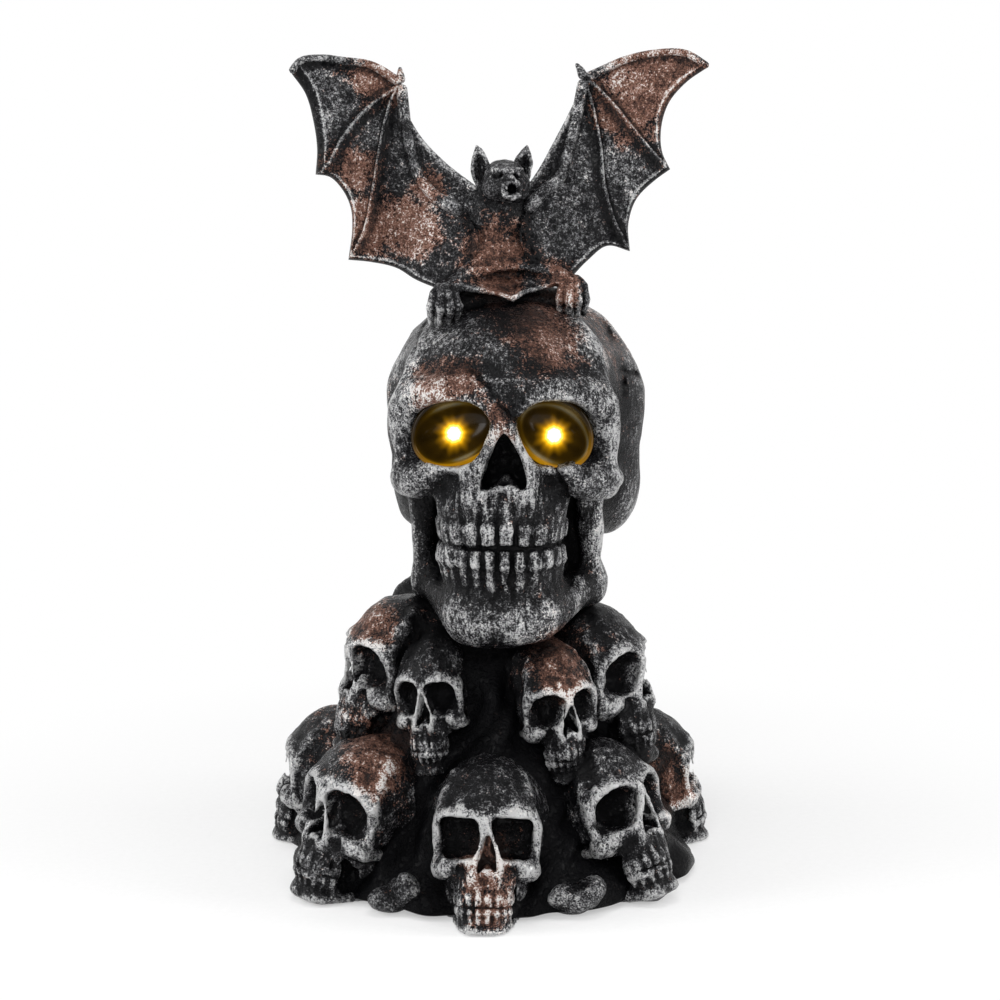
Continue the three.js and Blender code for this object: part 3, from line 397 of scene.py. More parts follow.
# %% Teeth on their arch
UPPER_TEETH, LOWER_TEETH = (7.4, 7, 6.5, 6.1, 6, 6), (6, 6, 6.2, 6.2, 6, 6)
# Half width, depth and middle of the arch that the teeth stand on, and how far it stands to the left
ARCH_WIDTH, ARCH_DEPTH, ARCH_MIDDLE, ARCH_ASIDE = 24.6, 25.2, -36, 0.7


def along_arch(widths):
    """Places for teeth side by side on half an ellipse: x, y and turn at the middle of each, and at the
    edge after it, found by the length along the curve."""
    t = np.linspace(0, math.pi / 2, 400)
    x, y = ARCH_WIDTH * np.sin(t), ARCH_MIDDLE - ARCH_DEPTH * np.cos(t)
    length = np.concatenate([[0], np.cumsum(np.hypot(np.diff(x), np.diff(y)))])
    edges = np.concatenate([[0], np.cumsum(widths)])
    spots = np.interp(np.concatenate([(edges[:-1] + edges[1:]) / 2, edges]), length, t)
    spots = [
        (ARCH_WIDTH * math.sin(s), ARCH_MIDDLE - ARCH_DEPTH * math.cos(s), math.degrees(s)) for s in spots
    ]
    return spots[: len(widths)], spots[len(widths) :]


# %% The recipe
# The nose is an upturned heart with its spine at the foot
NOSE = [(2.2, 92.7), (4.6, 89.7), (7, 83.2), (9.6, 76.2), (11, 71.2), (10.6, 68.8), (8.6, 68.4)]
NOSE += [(5.6, 70.6), (2.6, 73.2), (0.6, 72.6), (-2, 69.6), (-5, 67.6), (-7, 68.4), (-7.2, 71.2)]
NOSE += [(-5.6, 76.2), (-3, 83.2), (-0.4, 89.7)]
# How far back and how high the sockets' middles are
SOCKET_Y, SOCKET_Z = -55, 90.5


def add_pair(clay, points, radii, blend):
    """A strand through a list of points on each side of the skull."""
    for side in (-1, 1):
        clay.add(strand([(x * side, y, z) for x, y, z in points], radii), blend)


def carve_skull(clay, seed, look):
    """Carves a skull 144 mm high into a block of clay. A look can set the width of the jaw and the sockets,
    how square the brow is and how thin, the hollow of the cheek, how far the sockets lean, their places one
    by one, whether the temples and the throat are closed, the widths of the teeth, and the lumps."""
    jaw, square, thin = look.get("jaw", 1.0), look.get("square", 0.0), look.get("thin", 1.0)
    # Brain case, forehead and the closed underside
    clay.add(ball((0, 15, 94), (56, 57.5, 50)))
    clay.add(ball((0, -12, 98), (46.5, 46.5, 41)), 10)
    clay.add(ball((0, -16.5, 105), (43, 42, 33)), 8)
    clay.add(ball((0, 20, 62), (48, 41, 28)), 14)
    clay.add(ball((0, -6, 58), (34, 36, 30)), 10)
    # Crest of the temple, then the hollow behind it
    crest = [(41.5, -39, 96), (39.5, -38.5, 108), (35.5, -33, 120), (29, -24, 130)]
    add_pair(clay, crest, (2.4, 2, 1.4, 0.6), 12)
    for side in (-1, 1):
        clay.cut(ball((61.5 * side, -22, 90), (13, 20, 26), (0, 0, 14 * side)), 16)
    # Brow and the outer frame of the socket
    brow = [(3, -56.5, 101), (12, -56.5, 105), (23, -54.5, 107.5 + square), (34, -48.5, 105.5 + square)]
    brow += [(42, -41, 98 + square), (43.5, -38.5, 86), (42, -38, 75)]
    add_pair(clay, brow, [r * thin for r in (4, 4.2, 4.4, 4.2, 3.8, 3.6, 4)], 11)
    clay.add(ball((0, -55.5, 103), (11, 6, 9)), 8)
    # Upper jaw, cheekbones and the bar that runs back to the ear
    clay.add(ball((0, -37, 60), (29, 22, 20)), 8)
    clay.add(ball((0, -57.5, 93), (6, 7.5, 12)), 5)
    bar = [(42, -36, 67.5), (44.4, -20, 66), (43, -4, 66), (39, 12, 68)]
    add_pair(clay, bar, (4.6, 3.3, 3, 2.6), 8)
    for side in (-1, 1):
        clay.add(ball((33 * side, -41, 69.5), (13.5, 11, 8.5), (0, 12 * side, 30 * side)), 6)
        clay.add(limb((13 * side, -53, 82), (11 * side, -57, 66), 5, 6), 6)
        clay.add(ball((20 * side, -49, 78), (11, 8, 4.5), (0, 14 * side, 20 * side)), 5)
    # Lower jaw: chin, body, branch to the joint, and the bone behind the ear
    clay.add(ball((-2.5, -46, 12), (17 * jaw, 13, 13.5)), 6)
    for x in (-9.5, 6.5):
        clay.add(ball((x * jaw, -55, 11), (7, 5.5, 8.5)), 4)
    add_pair(clay, [(14 * jaw, -47, 13), (32.6 * jaw, -9, 21)], (10.5, 8), 8)
    add_pair(clay, [(37, 0, 56), (38.5, 4, 66)], (6, 7), 4)
    for side in (-1, 1):
        clay.add(brick(((34.9 * side - 1) * jaw, -8, 38), (5, 11.5, 25), 4.6, (8, 0, 6 * side)), 6)
        clay.add(ball((40.5 * side, 17, 58), (12, 18, 20)), 12)
    if look.get("closed"):
        clay.add(ball((0, -4, 27), (27, 38, 25)), 10)
    clay.add(arch_block(26, 24.3, 17, 66), 7)
    for side in (-1, 1):
        cheek = (28.8 * side - 0.4) * jaw, -33, 44.5
        clay.cut(ball(cheek, (3.9, look.get("cheek", 25), 20.5), (0, 0, 8 * side)), 3)
        clay.cut(ball((25 * side, -64, 67), (8, 8, 6)), 6)
    # Sockets: side, middle and half width, which differ from left to right on the large skull
    wide, lean = look.get("socket", 1.0), look.get("lean", 13)
    for side, middle, half in look.get("sockets", ((-1, 22, 18.2), (1, 22, 18.2))):
        socket = (middle * side, SOCKET_Y, SOCKET_Z), (half * wide, 22, 14 * wide), (0, lean * side, 0)
        clay.cut(ball(*socket), 2.5)
        if "sockets" not in look:
            clay.cut(ball((14.5 * side, -57, 94), (9.3 * wide, 16, 9.5 * wide)), 3)
        if square:
            clay.cut(brick((22 * side, -52, 91), (17.5, 18, 14.5), 6, (0, 4 * side, 0)), 2)
        if look.get("closed"):
            clay.add(ball((42.5 * side, -25, 88), (4.5, 13, 15)), 2)
    # Nose: a thin raised rim round an upturned heart, with a small spine at its foot
    rim = [(1, -62.5, 95.5), (5.2, -61.5, 88), (9.4, -59.5, 79), (10.4, -58.8, 73), (7, -60, 68)]
    rim += [(2, -61, 68.6)]
    for side in (-1, 1):
        around = [(x * side + 2, y, z) for x, y, z in rim]
        clay.add(strand(around, (1.9, 1.6, 1.6, 1.6, 1.4, 1.2)), 3.5)
    clay.cut(punch(NOSE, -80, -45), 1.4)
    carve_teeth(clay, look)
    clay.roughen(look.get("lumps", [(12, 0.45), (5, 0.16)]), seed)


def arch_block(half_width, depth, low, high):
    """The bone that holds the teeth: half an elliptic cylinder with its top and bottom rounded off."""

    def distance(x, y, z):
        ring = (((x / half_width) ** 2 + ((y - ARCH_MIDDLE) / depth) ** 2) ** 0.5 - 1) * depth
        level = np.abs(z - (low + high) / 2) - (high - low) / 2
        return np.maximum(np.maximum(ring + 0.004 * (z - 44) ** 2, level), y + 30)

    low_corner = np.array([-half_width, ARCH_MIDDLE - depth, low])
    return low_corner, np.array([half_width, -30, high]), distance


GAP_WIDTH = 0.7


def painted_shade_between_teeth(points, widths, middle, half):
    """Painted shade of the gaps: 1 on the line between two teeth of the large skull and less beside it,
    as a bell falls off.
    """
    most = np.zeros(len(points))
    gaps = along_arch(widths)[1]
    level = np.maximum(np.abs(points[:, 2] - middle) - half, 0)
    for side in (-1, 1):
        for x, y, _ in gaps[:-1]:
            aside = points[:, 0] - x * side + ARCH_ASIDE
            away = aside**2 + (0.25 * (points[:, 1] - y)) ** 2 + level**2
            most = np.maximum(most, np.exp(-away / GAP_WIDTH**2))
    return most


def carve_teeth(clay, look):
    """Rounded blocks on the arch, ripples for their roots, the grooves between and the bite."""
    widths = look.get("upper", UPPER_TEETH)
    lower = look.get("lower", LOWER_TEETH)

    def roots(x, y, z):
        """Narrow grooves up and down the bone, spaced by the length along the arch."""
        along = np.arctan2(x, ARCH_MIDDLE - y) * 26
        sway = 0.8 * np.sin(z / 4.1 + along / 5) + 0.0035 * (z - 44) * along
        height = np.clip(1.25 - np.abs(np.abs(z - 44) - 16) / 9, 0, 1)
        front = np.clip((-44 - y) / 6, 0, 1)
        return (0.5 * np.sin((along + sway) * 1.3) + 0.4 * np.sin((along - sway) * 2.3)) * height * front

    w, x, y, z = clay.window((-32, -70, 18), (32, -40, 72), 0)
    clay.far[w] += (0.5 * roots(x, y, z)).astype(np.float32)
    for row, middle, half in ((widths, 48.6, 5.3), (lower, 38.8, 4.9)):
        up = 1 if row is widths else -1
        teeth, gaps = along_arch(row)
        for side in (-1, 1):
            for (x, y, turn), width in zip(teeth, row):
                aside, halves = x * side - ARCH_ASIDE, (width * 0.54, 3.4, half)
                clay.add(brick((aside, y + 1, middle), halves, 2.5, (5 * up, 0, turn * side)), 0.6)
                rise = 1 + 0.16 * math.sin(7 * x + 3 * side + middle)
                root = [
                    (aside, y + 1.6, middle + up * half * 0.8),
                    (x * side * 0.97 - 0.6, y + 1.8, middle + up * 10),
                    (x * side * 0.9, y + 4, middle + up * 18 * rise),
                ]
                clay.add(strand(root, (width * 0.4, width * 0.34, 0.6)), 1.4)
            for x, y, _ in gaps[:-1]:
                aside, low, high = x * side - ARCH_ASIDE, middle - half, middle + half
                clay.cut(limb((aside, y - 1.3, low), (aside, y - 1.6, high), 0.55), 0.5)

    def bite(x, y, z):
        """A thin level slot along the front of the arch."""
        ring = np.abs(((x / 29) ** 2 + ((y - ARCH_MIDDLE) / 27) ** 2) ** 0.5 - 1) * 27 - 3
        return np.maximum(np.maximum(ring, np.abs(z - 43.6 - 0.5 * np.cos(x / 4)) - 0.45), y + 30)

    clay.cut((np.array([-31, -66, 41]), np.array([31, -28, 46]), bite), 0.5)


print("recipe ready")

# %% [markdown]
# ## The large skull
# It fills most of the photograph, so its block has fine steps over the face and the teeth and wider ones
# over the back of the head, which is smooth. The cracks are cut last, and the underside is cut level.


# %% Carve the large skull
def steps(low, high, fine, coarse=None, finest=None):
    """Grid places from low to high: a fine step inside a range and a coarse one outside it."""
    places, here = [low], low
    while here < high:
        near = finest is None or finest[0] <= here <= finest[1]
        here += fine if near else coarse
        places.append(here)
    return places


# Side, middle and half width of each socket; and how much of its relief the large skull shows the paint
SOCKETS = ((-1, 19.8, 19.3), (1, 22, 16.4))
RELIEF_SHARE = 0.6
grain = 0.94
bone = Clay(
    steps(-60, 60, 0.8 * grain, 1.1 * grain, (-27, 27)),
    steps(-75, 76, grain, 1.9 * grain, (-76, -22)),
    steps(-4, 148, grain, 1.5 * grain, (-5, 112)),
)
carve_skull(bone, 3, {"sockets": SOCKETS})
bone.add(limb((0, 10, 8), (0, 10, 48), 36), 3)
FOREHEAD_CRACK = [(-14, 118), (-12.2, 115.6), (-8.6, 114.6), (-7.4, 111.6), (-3.6, 110.4)]
FOREHEAD_CRACK += [(-3.2, 107.6), (0, 105.4)]
# The cracks, each with its width and depth
for line, width, depth in (
    (FOREHEAD_CRACK, 0.62, 1.5),
    ([(0, 105.4), (0.4, 102.6), (3.4, 101), (4, 98.4), (7.6, 96.8), (9.6, 94)], 0.62, 1.7),
    ([(21, 78), (23.4, 74.6), (24.2, 71), (26.6, 68), (26, 65.4), (29.4, 61.6)], 0.62, 1.7),
    ([(6.5, 34), (3.6, 31.4), (3, 28.6), (-0.4, 26.4), (-1.6, 22.8), (-5, 20)], 0.55, 1.2),
    ([(37, 131), (39.6, 128.8), (41, 125.6), (44.5, 122.5)], 0.55, 1.3),
    ([(46.4, 112.4), (48.6, 109.6), (51.4, 109), (53.4, 106.8), (57, 106)], 0.62, 1.7),
    ([(48.6, 109.6), (47.6, 106.4), (48.6, 102.6), (47.2, 98)], 0.55, 1.3),
    ([(-36, 131), (-38.8, 127.4), (-37.2, 123.4), (-38.4, 119)], 0.55, 1.3),
):
    bone.crack(line, width, depth)
under = np.array([-80, -80, -12.0]), np.array([80, 90, 0.4])
bone.cut((*under, lambda x, y, z: z - 0.4 - 0.05 * np.minimum(y + 12, 0) + 0 * x), 0.5)
skull_points, skull_faces = skin(bone)
skull_ridge, skull_swell = relief(bone, skull_points, 2, 6)
skull_ridge *= RELIEF_SHARE
large_skull = put(
    "large_skull",
    placed(skull_points, SKULL_FRAME),
    skull_faces,
    {"ridge": skull_ridge, "swell": skull_swell},
)
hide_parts("skull_casting")
print("large skull", len(skull_faces), "faces; ridge", np.percentile(skull_ridge, [5, 50, 95]).round(2))
print("swell", np.percentile(skull_swell, [5, 50, 95]).round(2))

# %% [markdown]
# ## The heap of small skulls
# Each small skull is carved on its own, with its own lumps and proportions, and set on its ring by the
# same spin, tilt and reach as its solid. A core behind them joins the heap.

# %% Small skulls
SMALL_LOOK = {
    "upper": (8.6, 8.2, 8, 7.6),
    "lower": (8, 7.8, 7.6, 7.4),
    "lumps": [(15, 0.6), (7, 0.4), (3.8, 0.25)],
    "thin": 0.85,
    "cheek": 14,
    "closed": True,
}
# A ring of skulls: angles, height, reach, pitch, base and width share
RINGS = {
    "base": ((108, 180, 252), 72, 103, 12, 0.6, 0.92),
    "rear": ((142, 218), 76, 62, 2, 54, 0.92),
}
# Seen in front: name, height, width share, place of its frame, turns about Z, X and Y
FACES = [
    ("front", 75, 0.9, (-1.5, -74.1, -7.5), (-2.5, 11.8, 1.0)),
    ("front_left", 75, 0.94, (-58, -43.5, -4.8), (-46.6, 14.3, 5.8)),
    ("front_right", 75, 0.95, (54.2, -44.5, -5.2), (45, 20, -5)),
    ("upper_left", 60, 0.78, (-17.4, -36.8, 52), (-21.8, 5, -5.8)),
    ("upper_right", 60, 0.84, (25.2, -36.4, 50.8), (22.1, -0.2, -4.4)),
    ("side_right", 75, 0.92, (43, -14, 46.5), (64, 10, 0)),
    ("side_left", 74, 0.92, (-38, -13, 50), (-66, 10, 0)),
]
# The skulls end just above the floor and round the recess for the tray
FLOOR_GAP, TRAY_RADIUS, TRAY_TOP = 0.7, 67, 7.6
# A small skull has a shorter jaw and lower sockets than the large one: recipe height, then its own
RECIPE_Z = (-6, 0, 20, 45, 77, 91, 109, 150)
SMALL_Z = (-8, -2, 9, 26, 62, 80.5, 97, 148)


def ring_frame(angle, height, reach, pitch, base):
    """The chin stands at a reach from the middle, leans back by the pitch, and is spun round Z."""
    tilt = placing((0, -reach, base), (-pitch, 0, 0)) @ placing((0, 0.425 * height, 0))
    return placing(turn=(0, 0, angle)) @ tilt


def face_frame(at, turns):
    """A frame placed by itself: rolled about Y, leant back about X, spun round Z."""
    yaw, pitch, roll = turns
    spin = placing(turn=(0, 0, yaw)) @ placing(turn=(-pitch, 0, 0)) @ placing(turn=(0, roll, 0))
    return placing(at) @ spin


heap = [(name, height, width, face_frame(at, turns)) for name, height, width, at, turns in FACES]
for ring, (angles, height, reach, pitch, base, width) in RINGS.items():
    for n, angle in enumerate(angles):
        heap.append((f"{ring}_{n + 1}", height, width, ring_frame(angle, height, reach, pitch, base)))
small_grain = 1.9
small_skulls = []
for n, (name, height, width, matrix) in enumerate(heap):
    rng = np.random.default_rng(20 + n)
    own = {"jaw": rng.uniform(0.8, 0.86), "socket": rng.uniform(1.08, 1.16), "lean": rng.uniform(6, 16)}
    look = SMALL_LOOK | own
    if name == "front":
        look.update(jaw=0.8, square=1.5, socket=1.04, lean=4)
    clay = Clay(steps(-64, 64, small_grain), steps(-78, 80, small_grain), steps(-6, 150, small_grain))
    carve_skull(clay, 20 + n, look)
    scale = height / SKULL_HEIGHT
    whole = matrix @ np.diag([width, 1, 1, 1])
    own_z = np.interp(clay.axes[2], RECIPE_Z, SMALL_Z)
    grid = np.meshgrid(clay.axes[0] * scale, clay.axes[1] * scale, own_z * scale, indexing="ij", sparse=True)
    world = [sum(whole[row, k] * grid[k] for k in range(3)) + whole[row, 3] for row in range(3)]
    floor_cut = (FLOOR_GAP - world[2]) / scale
    tray_cut = np.minimum(TRAY_RADIUS - np.hypot(world[0], world[1]), TRAY_TOP - world[2]) / scale
    clay.far = np.maximum(clay.far, np.maximum(floor_cut, tray_cut)).astype(np.float32)
    points, faces = skin(clay)
    ridge, swell = relief(clay, points, 1, 4)
    points[:, 2] = np.interp(points[:, 2], RECIPE_Z, SMALL_Z)
    name = f"small_skull_{name}"
    small_skulls.append([name, placed(points, whole, scale), faces, ridge, swell, whole, scale, clay])
print("small skulls", len(small_skulls), "faces", sum(len(s[2]) for s in small_skulls))

# %% [markdown]
# Where two skulls touch, each is painted darker near the other: painted shade between the parts, together
# with the silver that the brush misses there. Each skin reads how near the other skulls are, from their
# blocks, and keeps that as its value of painted shade.

# %% Painted shade between parts, and the small skulls as pieces
def nearness(points, others, reach):
    """How deep a place lies between pieces: 1 on another's skin, 0 at a reach away from it. The distance
    is read from the other's block, which has its jaw and sockets still at the recipe's heights."""
    least = np.full(len(points), reach)
    for whole, scale, clay in others:
        local = (points - whole[:3, 3]) @ np.linalg.inv(whole[:3, :3]).T / scale
        if clay is not bone:
            local[:, 2] = np.interp(local[:, 2], SMALL_Z, RECIPE_Z)
        inside = np.all([(local[:, n] > a[0]) & (local[:, n] < a[-1]) for n, a in enumerate(clay.axes)], 0)
        if inside.any():
            least[inside] = np.minimum(least[inside], read(clay, clay.far, local[inside]) * scale)
    return np.clip(1 - least / reach, 0, 1)


fields = [entry[5:] for entry in small_skulls]
crown = [(SKULL_FRAME, 1.0, bone)]
for n, (name, points, faces, ridge, swell, *_) in enumerate(small_skulls):
    # Painted shade near the other small skulls and the large one
    crevice = nearness(points, fields[:n] + fields[n + 1 :] + crown, 7.0)
    values = {"ridge": ridge, "swell": swell, "crevice": crevice}
    piece = put(name, points, faces, values)
    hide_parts("stack_casting")
# Painted shade on the large skull: darker near the small skulls, and a dark line along each gap between the
# teeth, narrower than the grid can carve
gaps = painted_shade_between_teeth(skull_points, UPPER_TEETH, 49, 5) + painted_shade_between_teeth(skull_points, LOWER_TEETH, 38.4, 4.6)
keep(large_skull, "crevice", nearness(placed(skull_points, SKULL_FRAME), fields, 9.0) + 1.1 * gaps)
print("small skulls placed", len(small_skulls))

# %% [markdown]
# ## The core of the heap
# What shows between the skulls is the mass they were pressed into: a cone with soft folds that spreads
# into a skirt between the jaws. It is a lathe profile whose radius also depends on the angle, and the
# profile closes on itself, so the cone has a bore for the lamp wires and a recess for the tray.


# %% Smooth curves and lathe surfaces
def curve(points, t):
    """A smooth curve through points, at shares t of its length: between two points a cubic whose slope at
    each point is the slope of the chord between its neighbours."""
    points = np.asarray(points, float)
    chords = np.linalg.norm(np.diff(points, axis=0), axis=1)
    s = np.concatenate([[0], np.cumsum(chords)]) / chords.sum()
    slope = np.gradient(points, s, axis=0, edge_order=1)
    t = np.clip(np.asarray(t, float), 0, 1)
    i = np.clip(np.searchsorted(s, t, side="right") - 1, 0, len(s) - 2)
    gap = (s[i + 1] - s[i])[..., None]
    w = ((t - s[i])[..., None]) / gap
    start, end = (2 * w**3 - 3 * w**2 + 1), (3 * w**2 - 2 * w**3)
    return (
        start * points[i]
        + end * points[i + 1]
        + (w**3 - 2 * w**2 + w) * gap * slope[i]
        + (w**3 - w**2) * gap * slope[i + 1]
    )


def grid_faces(rows, columns, wrap_rows=False, wrap_columns=False):
    """Four-sided faces of a grid of points numbered row by row."""
    r, c = np.arange(rows if wrap_rows else rows - 1), np.arange(columns if wrap_columns else columns - 1)
    r, c = (a.ravel() for a in np.meshgrid(r, c, indexing="ij"))
    r2, c2 = (r + 1) % rows, (c + 1) % columns
    return np.stack([r * columns + c, r * columns + c2, r2 * columns + c2, r2 * columns + c], 1)


def outward(points, faces):
    """Turns all faces over when the closed shell's signed volume, a sum of tetrahedra, is below 0."""
    a, b, c, d = (points[faces[:, n]] for n in range(4))
    volume = (a * np.cross(b, c)).sum() + (a * np.cross(c, d)).sum()
    return faces if volume > 0 else faces[:, ::-1]


def capped(rings):
    """A closed shell from rings of points, shape (rows, columns, 3): each end is fanned to its middle."""
    rows, columns = rings.shape[:2]
    points = np.concatenate([rings.reshape(-1, 3), rings[:1].mean(1), rings[-1:].mean(1)])
    fan, turn = np.arange(columns), (np.arange(columns) + 1) % columns
    base, pole = (rows - 1) * columns, rows * columns
    start = np.stack([0 * fan + pole, fan, turn, turn], 1)
    end = np.stack([0 * fan + pole + 1, base + turn, base + fan, base + fan], 1)
    faces = np.concatenate([grid_faces(rows, columns, False, True)[:, ::-1], start, end])
    return points, outward(points, faces)


# %% Core
# Radius and height: the recess and the skirt, the outside up to the crown, then the bore down again
CORE = [(66.6, 7.6), (66.6, 0.7), (80, 0.7), (84, 3), (83, 9), (78, 20), (68, 36), (60, 56), (53, 78)]
CORE += [(50, 91), (46, 99), (41, 104.6), (36, 106.6)]
CORE += [(9, 106.6), (9, 88), (20, 87.6), (55, 24), (55, 7.6)]
profile = np.array(CORE)
lengths = np.linalg.norm(np.diff(np.vstack([profile, profile[:1]]), axis=0), axis=1)
core_rows = []
for (r0, z0), (r1, z1), length in zip(CORE, CORE[1:] + CORE[:1], lengths):
    count = max(2, int(length / (1.6)))
    t = np.arange(count) / count
    core_rows += [(r0 + (r1 - r0) * k, z0 + (z1 - z0) * k) for k in t]
core_rows = np.array(core_rows)
around = np.linspace(0, 2 * np.pi, 400, endpoint=False)
radius, height = core_rows[:, :1] + 0 * around, core_rows[:, 1:] + 0 * around
outer = np.clip((radius - 58 + height * 0.33) / 10, 0, 1) * np.clip((107 - height) / 20, 0, 1)
outer = outer * ((radius > 67.5) | (height > 20)) * (height > 0.8)
sway = 1.4 * np.sin(3 * around + height / 17) + 0.8 * np.sin(7 * around - height / 11)
folds = 2.4 * np.sin(11 * around + height / 9 + sway) + 1.3 * np.sin(23 * around - height / 6 + 2 * sway)
folds = folds + 0.9 * np.sin(height / 3.1 + 2.5 * np.sin(5 * around)) * np.sin(9 * around)
skirt = 3.2 * np.exp(-((height - 4) / 9) ** 2) * (1 + 0.6 * np.sin(5 * around + 0.7))
radius = radius + outer * (folds + skirt)
core_points = np.stack([radius * np.sin(around), -radius * np.cos(around), height], -1).reshape(-1, 3)
core_faces = outward(core_points, grid_faces(len(core_rows), len(around), True, True))
core_ridge = (outer * (folds / 9) - 0.12 * (1 - outer)).ravel()
core_values = {
    "ridge": core_ridge,
    "swell": core_ridge * 2 - 0.5,
    # Painted shade under and between the skulls round the core, with a quarter added all over, so the core is
    # darker everywhere
    "crevice": np.clip(nearness(core_points, fields, 16.0) + 0.25, 0, 1),
}
core = put("heap_core", core_points, core_faces, core_values)
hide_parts("stack_casting")
print("core", len(core_faces), "faces, widest", np.abs(core_points[:, :2]).max().round(1))

# %% [markdown]
# ## Bone ends between the jaws
# Low knobs of bone peep out of the skirt beside the front skull. They are carved in one block.

# %% Knobs
knob_grain = 1.3
knob_clay = Clay(steps(-80, 80, knob_grain), steps(-98, -50, knob_grain), steps(-4, 30, knob_grain))
for at, radii, turn in (
    ((-34.5, -76, 10), (7, 7, 7), (0, 8, 20)),
    ((-35, -79, 16), (3.2, 3, 3), (0, 0, 0)),
    ((-42, -74, 5), (10, 7, 5), (0, 10, 30)),
    ((34, -76, 7), (13, 8, 6.5), (0, -14, -18)),
    ((27, -80, 8.5), (5, 4.5, 4), (0, -10, 0)),
    ((42, -74, 10), (5.5, 5, 5), (0, 0, 0)),
):
    knob_clay.add(ball(at, radii, turn), 3)
knob_clay.roughen([(9, 0.7), (4, 0.3)], 61)
under = np.array([-99, -99, -9.0]), np.array([99, -40, 0.8])
knob_clay.cut((*under, lambda x, y, z: z - 0.8 + 0 * x + 0 * y), 1)
knob_points, knob_faces = skin(knob_clay)
knob_ridge, knob_swell = relief(knob_clay, knob_points, 2, 5)
# Painted shade where the knobs meet the skulls
knob_values = {"ridge": knob_ridge, "swell": knob_swell, "crevice": nearness(knob_points, fields, 7.0)}
knobs = put("bone_knobs", knob_points, knob_faces, knob_values)
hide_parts("stack_casting")
print("knobs", len(knob_faces), "faces")

# %% [markdown]
# ## The bat's body
# A furred trunk, a short head turned a little aside with its mouth open, tall ears, legs spread over the
# crown with four hooked toes each, and the skin between the legs. It is carved like the skulls, finer.


# %% Carve the bat
def tail_sheet():
    """The skin between the legs: a thin bowed sheet from the crotch down and forward to a pointed edge."""

    def distance(x, y, z):
        low = 5 + 0.0085 * x * x + 2.4 * (1 - np.exp(-(((x - 2) / 6) ** 2)))
        place = -4.5 - 11.5 * np.clip(1 - (z - low) / 11, 0, 1.2) ** 1.3
        top = 18.5 - 0.36 * np.abs(x)
        return np.maximum(np.maximum(0.75 * np.abs(y - place) - 1, low - z), z - top)

    return np.array([-22.0, -22, 2]), np.array([22.0, 0, 22]), distance


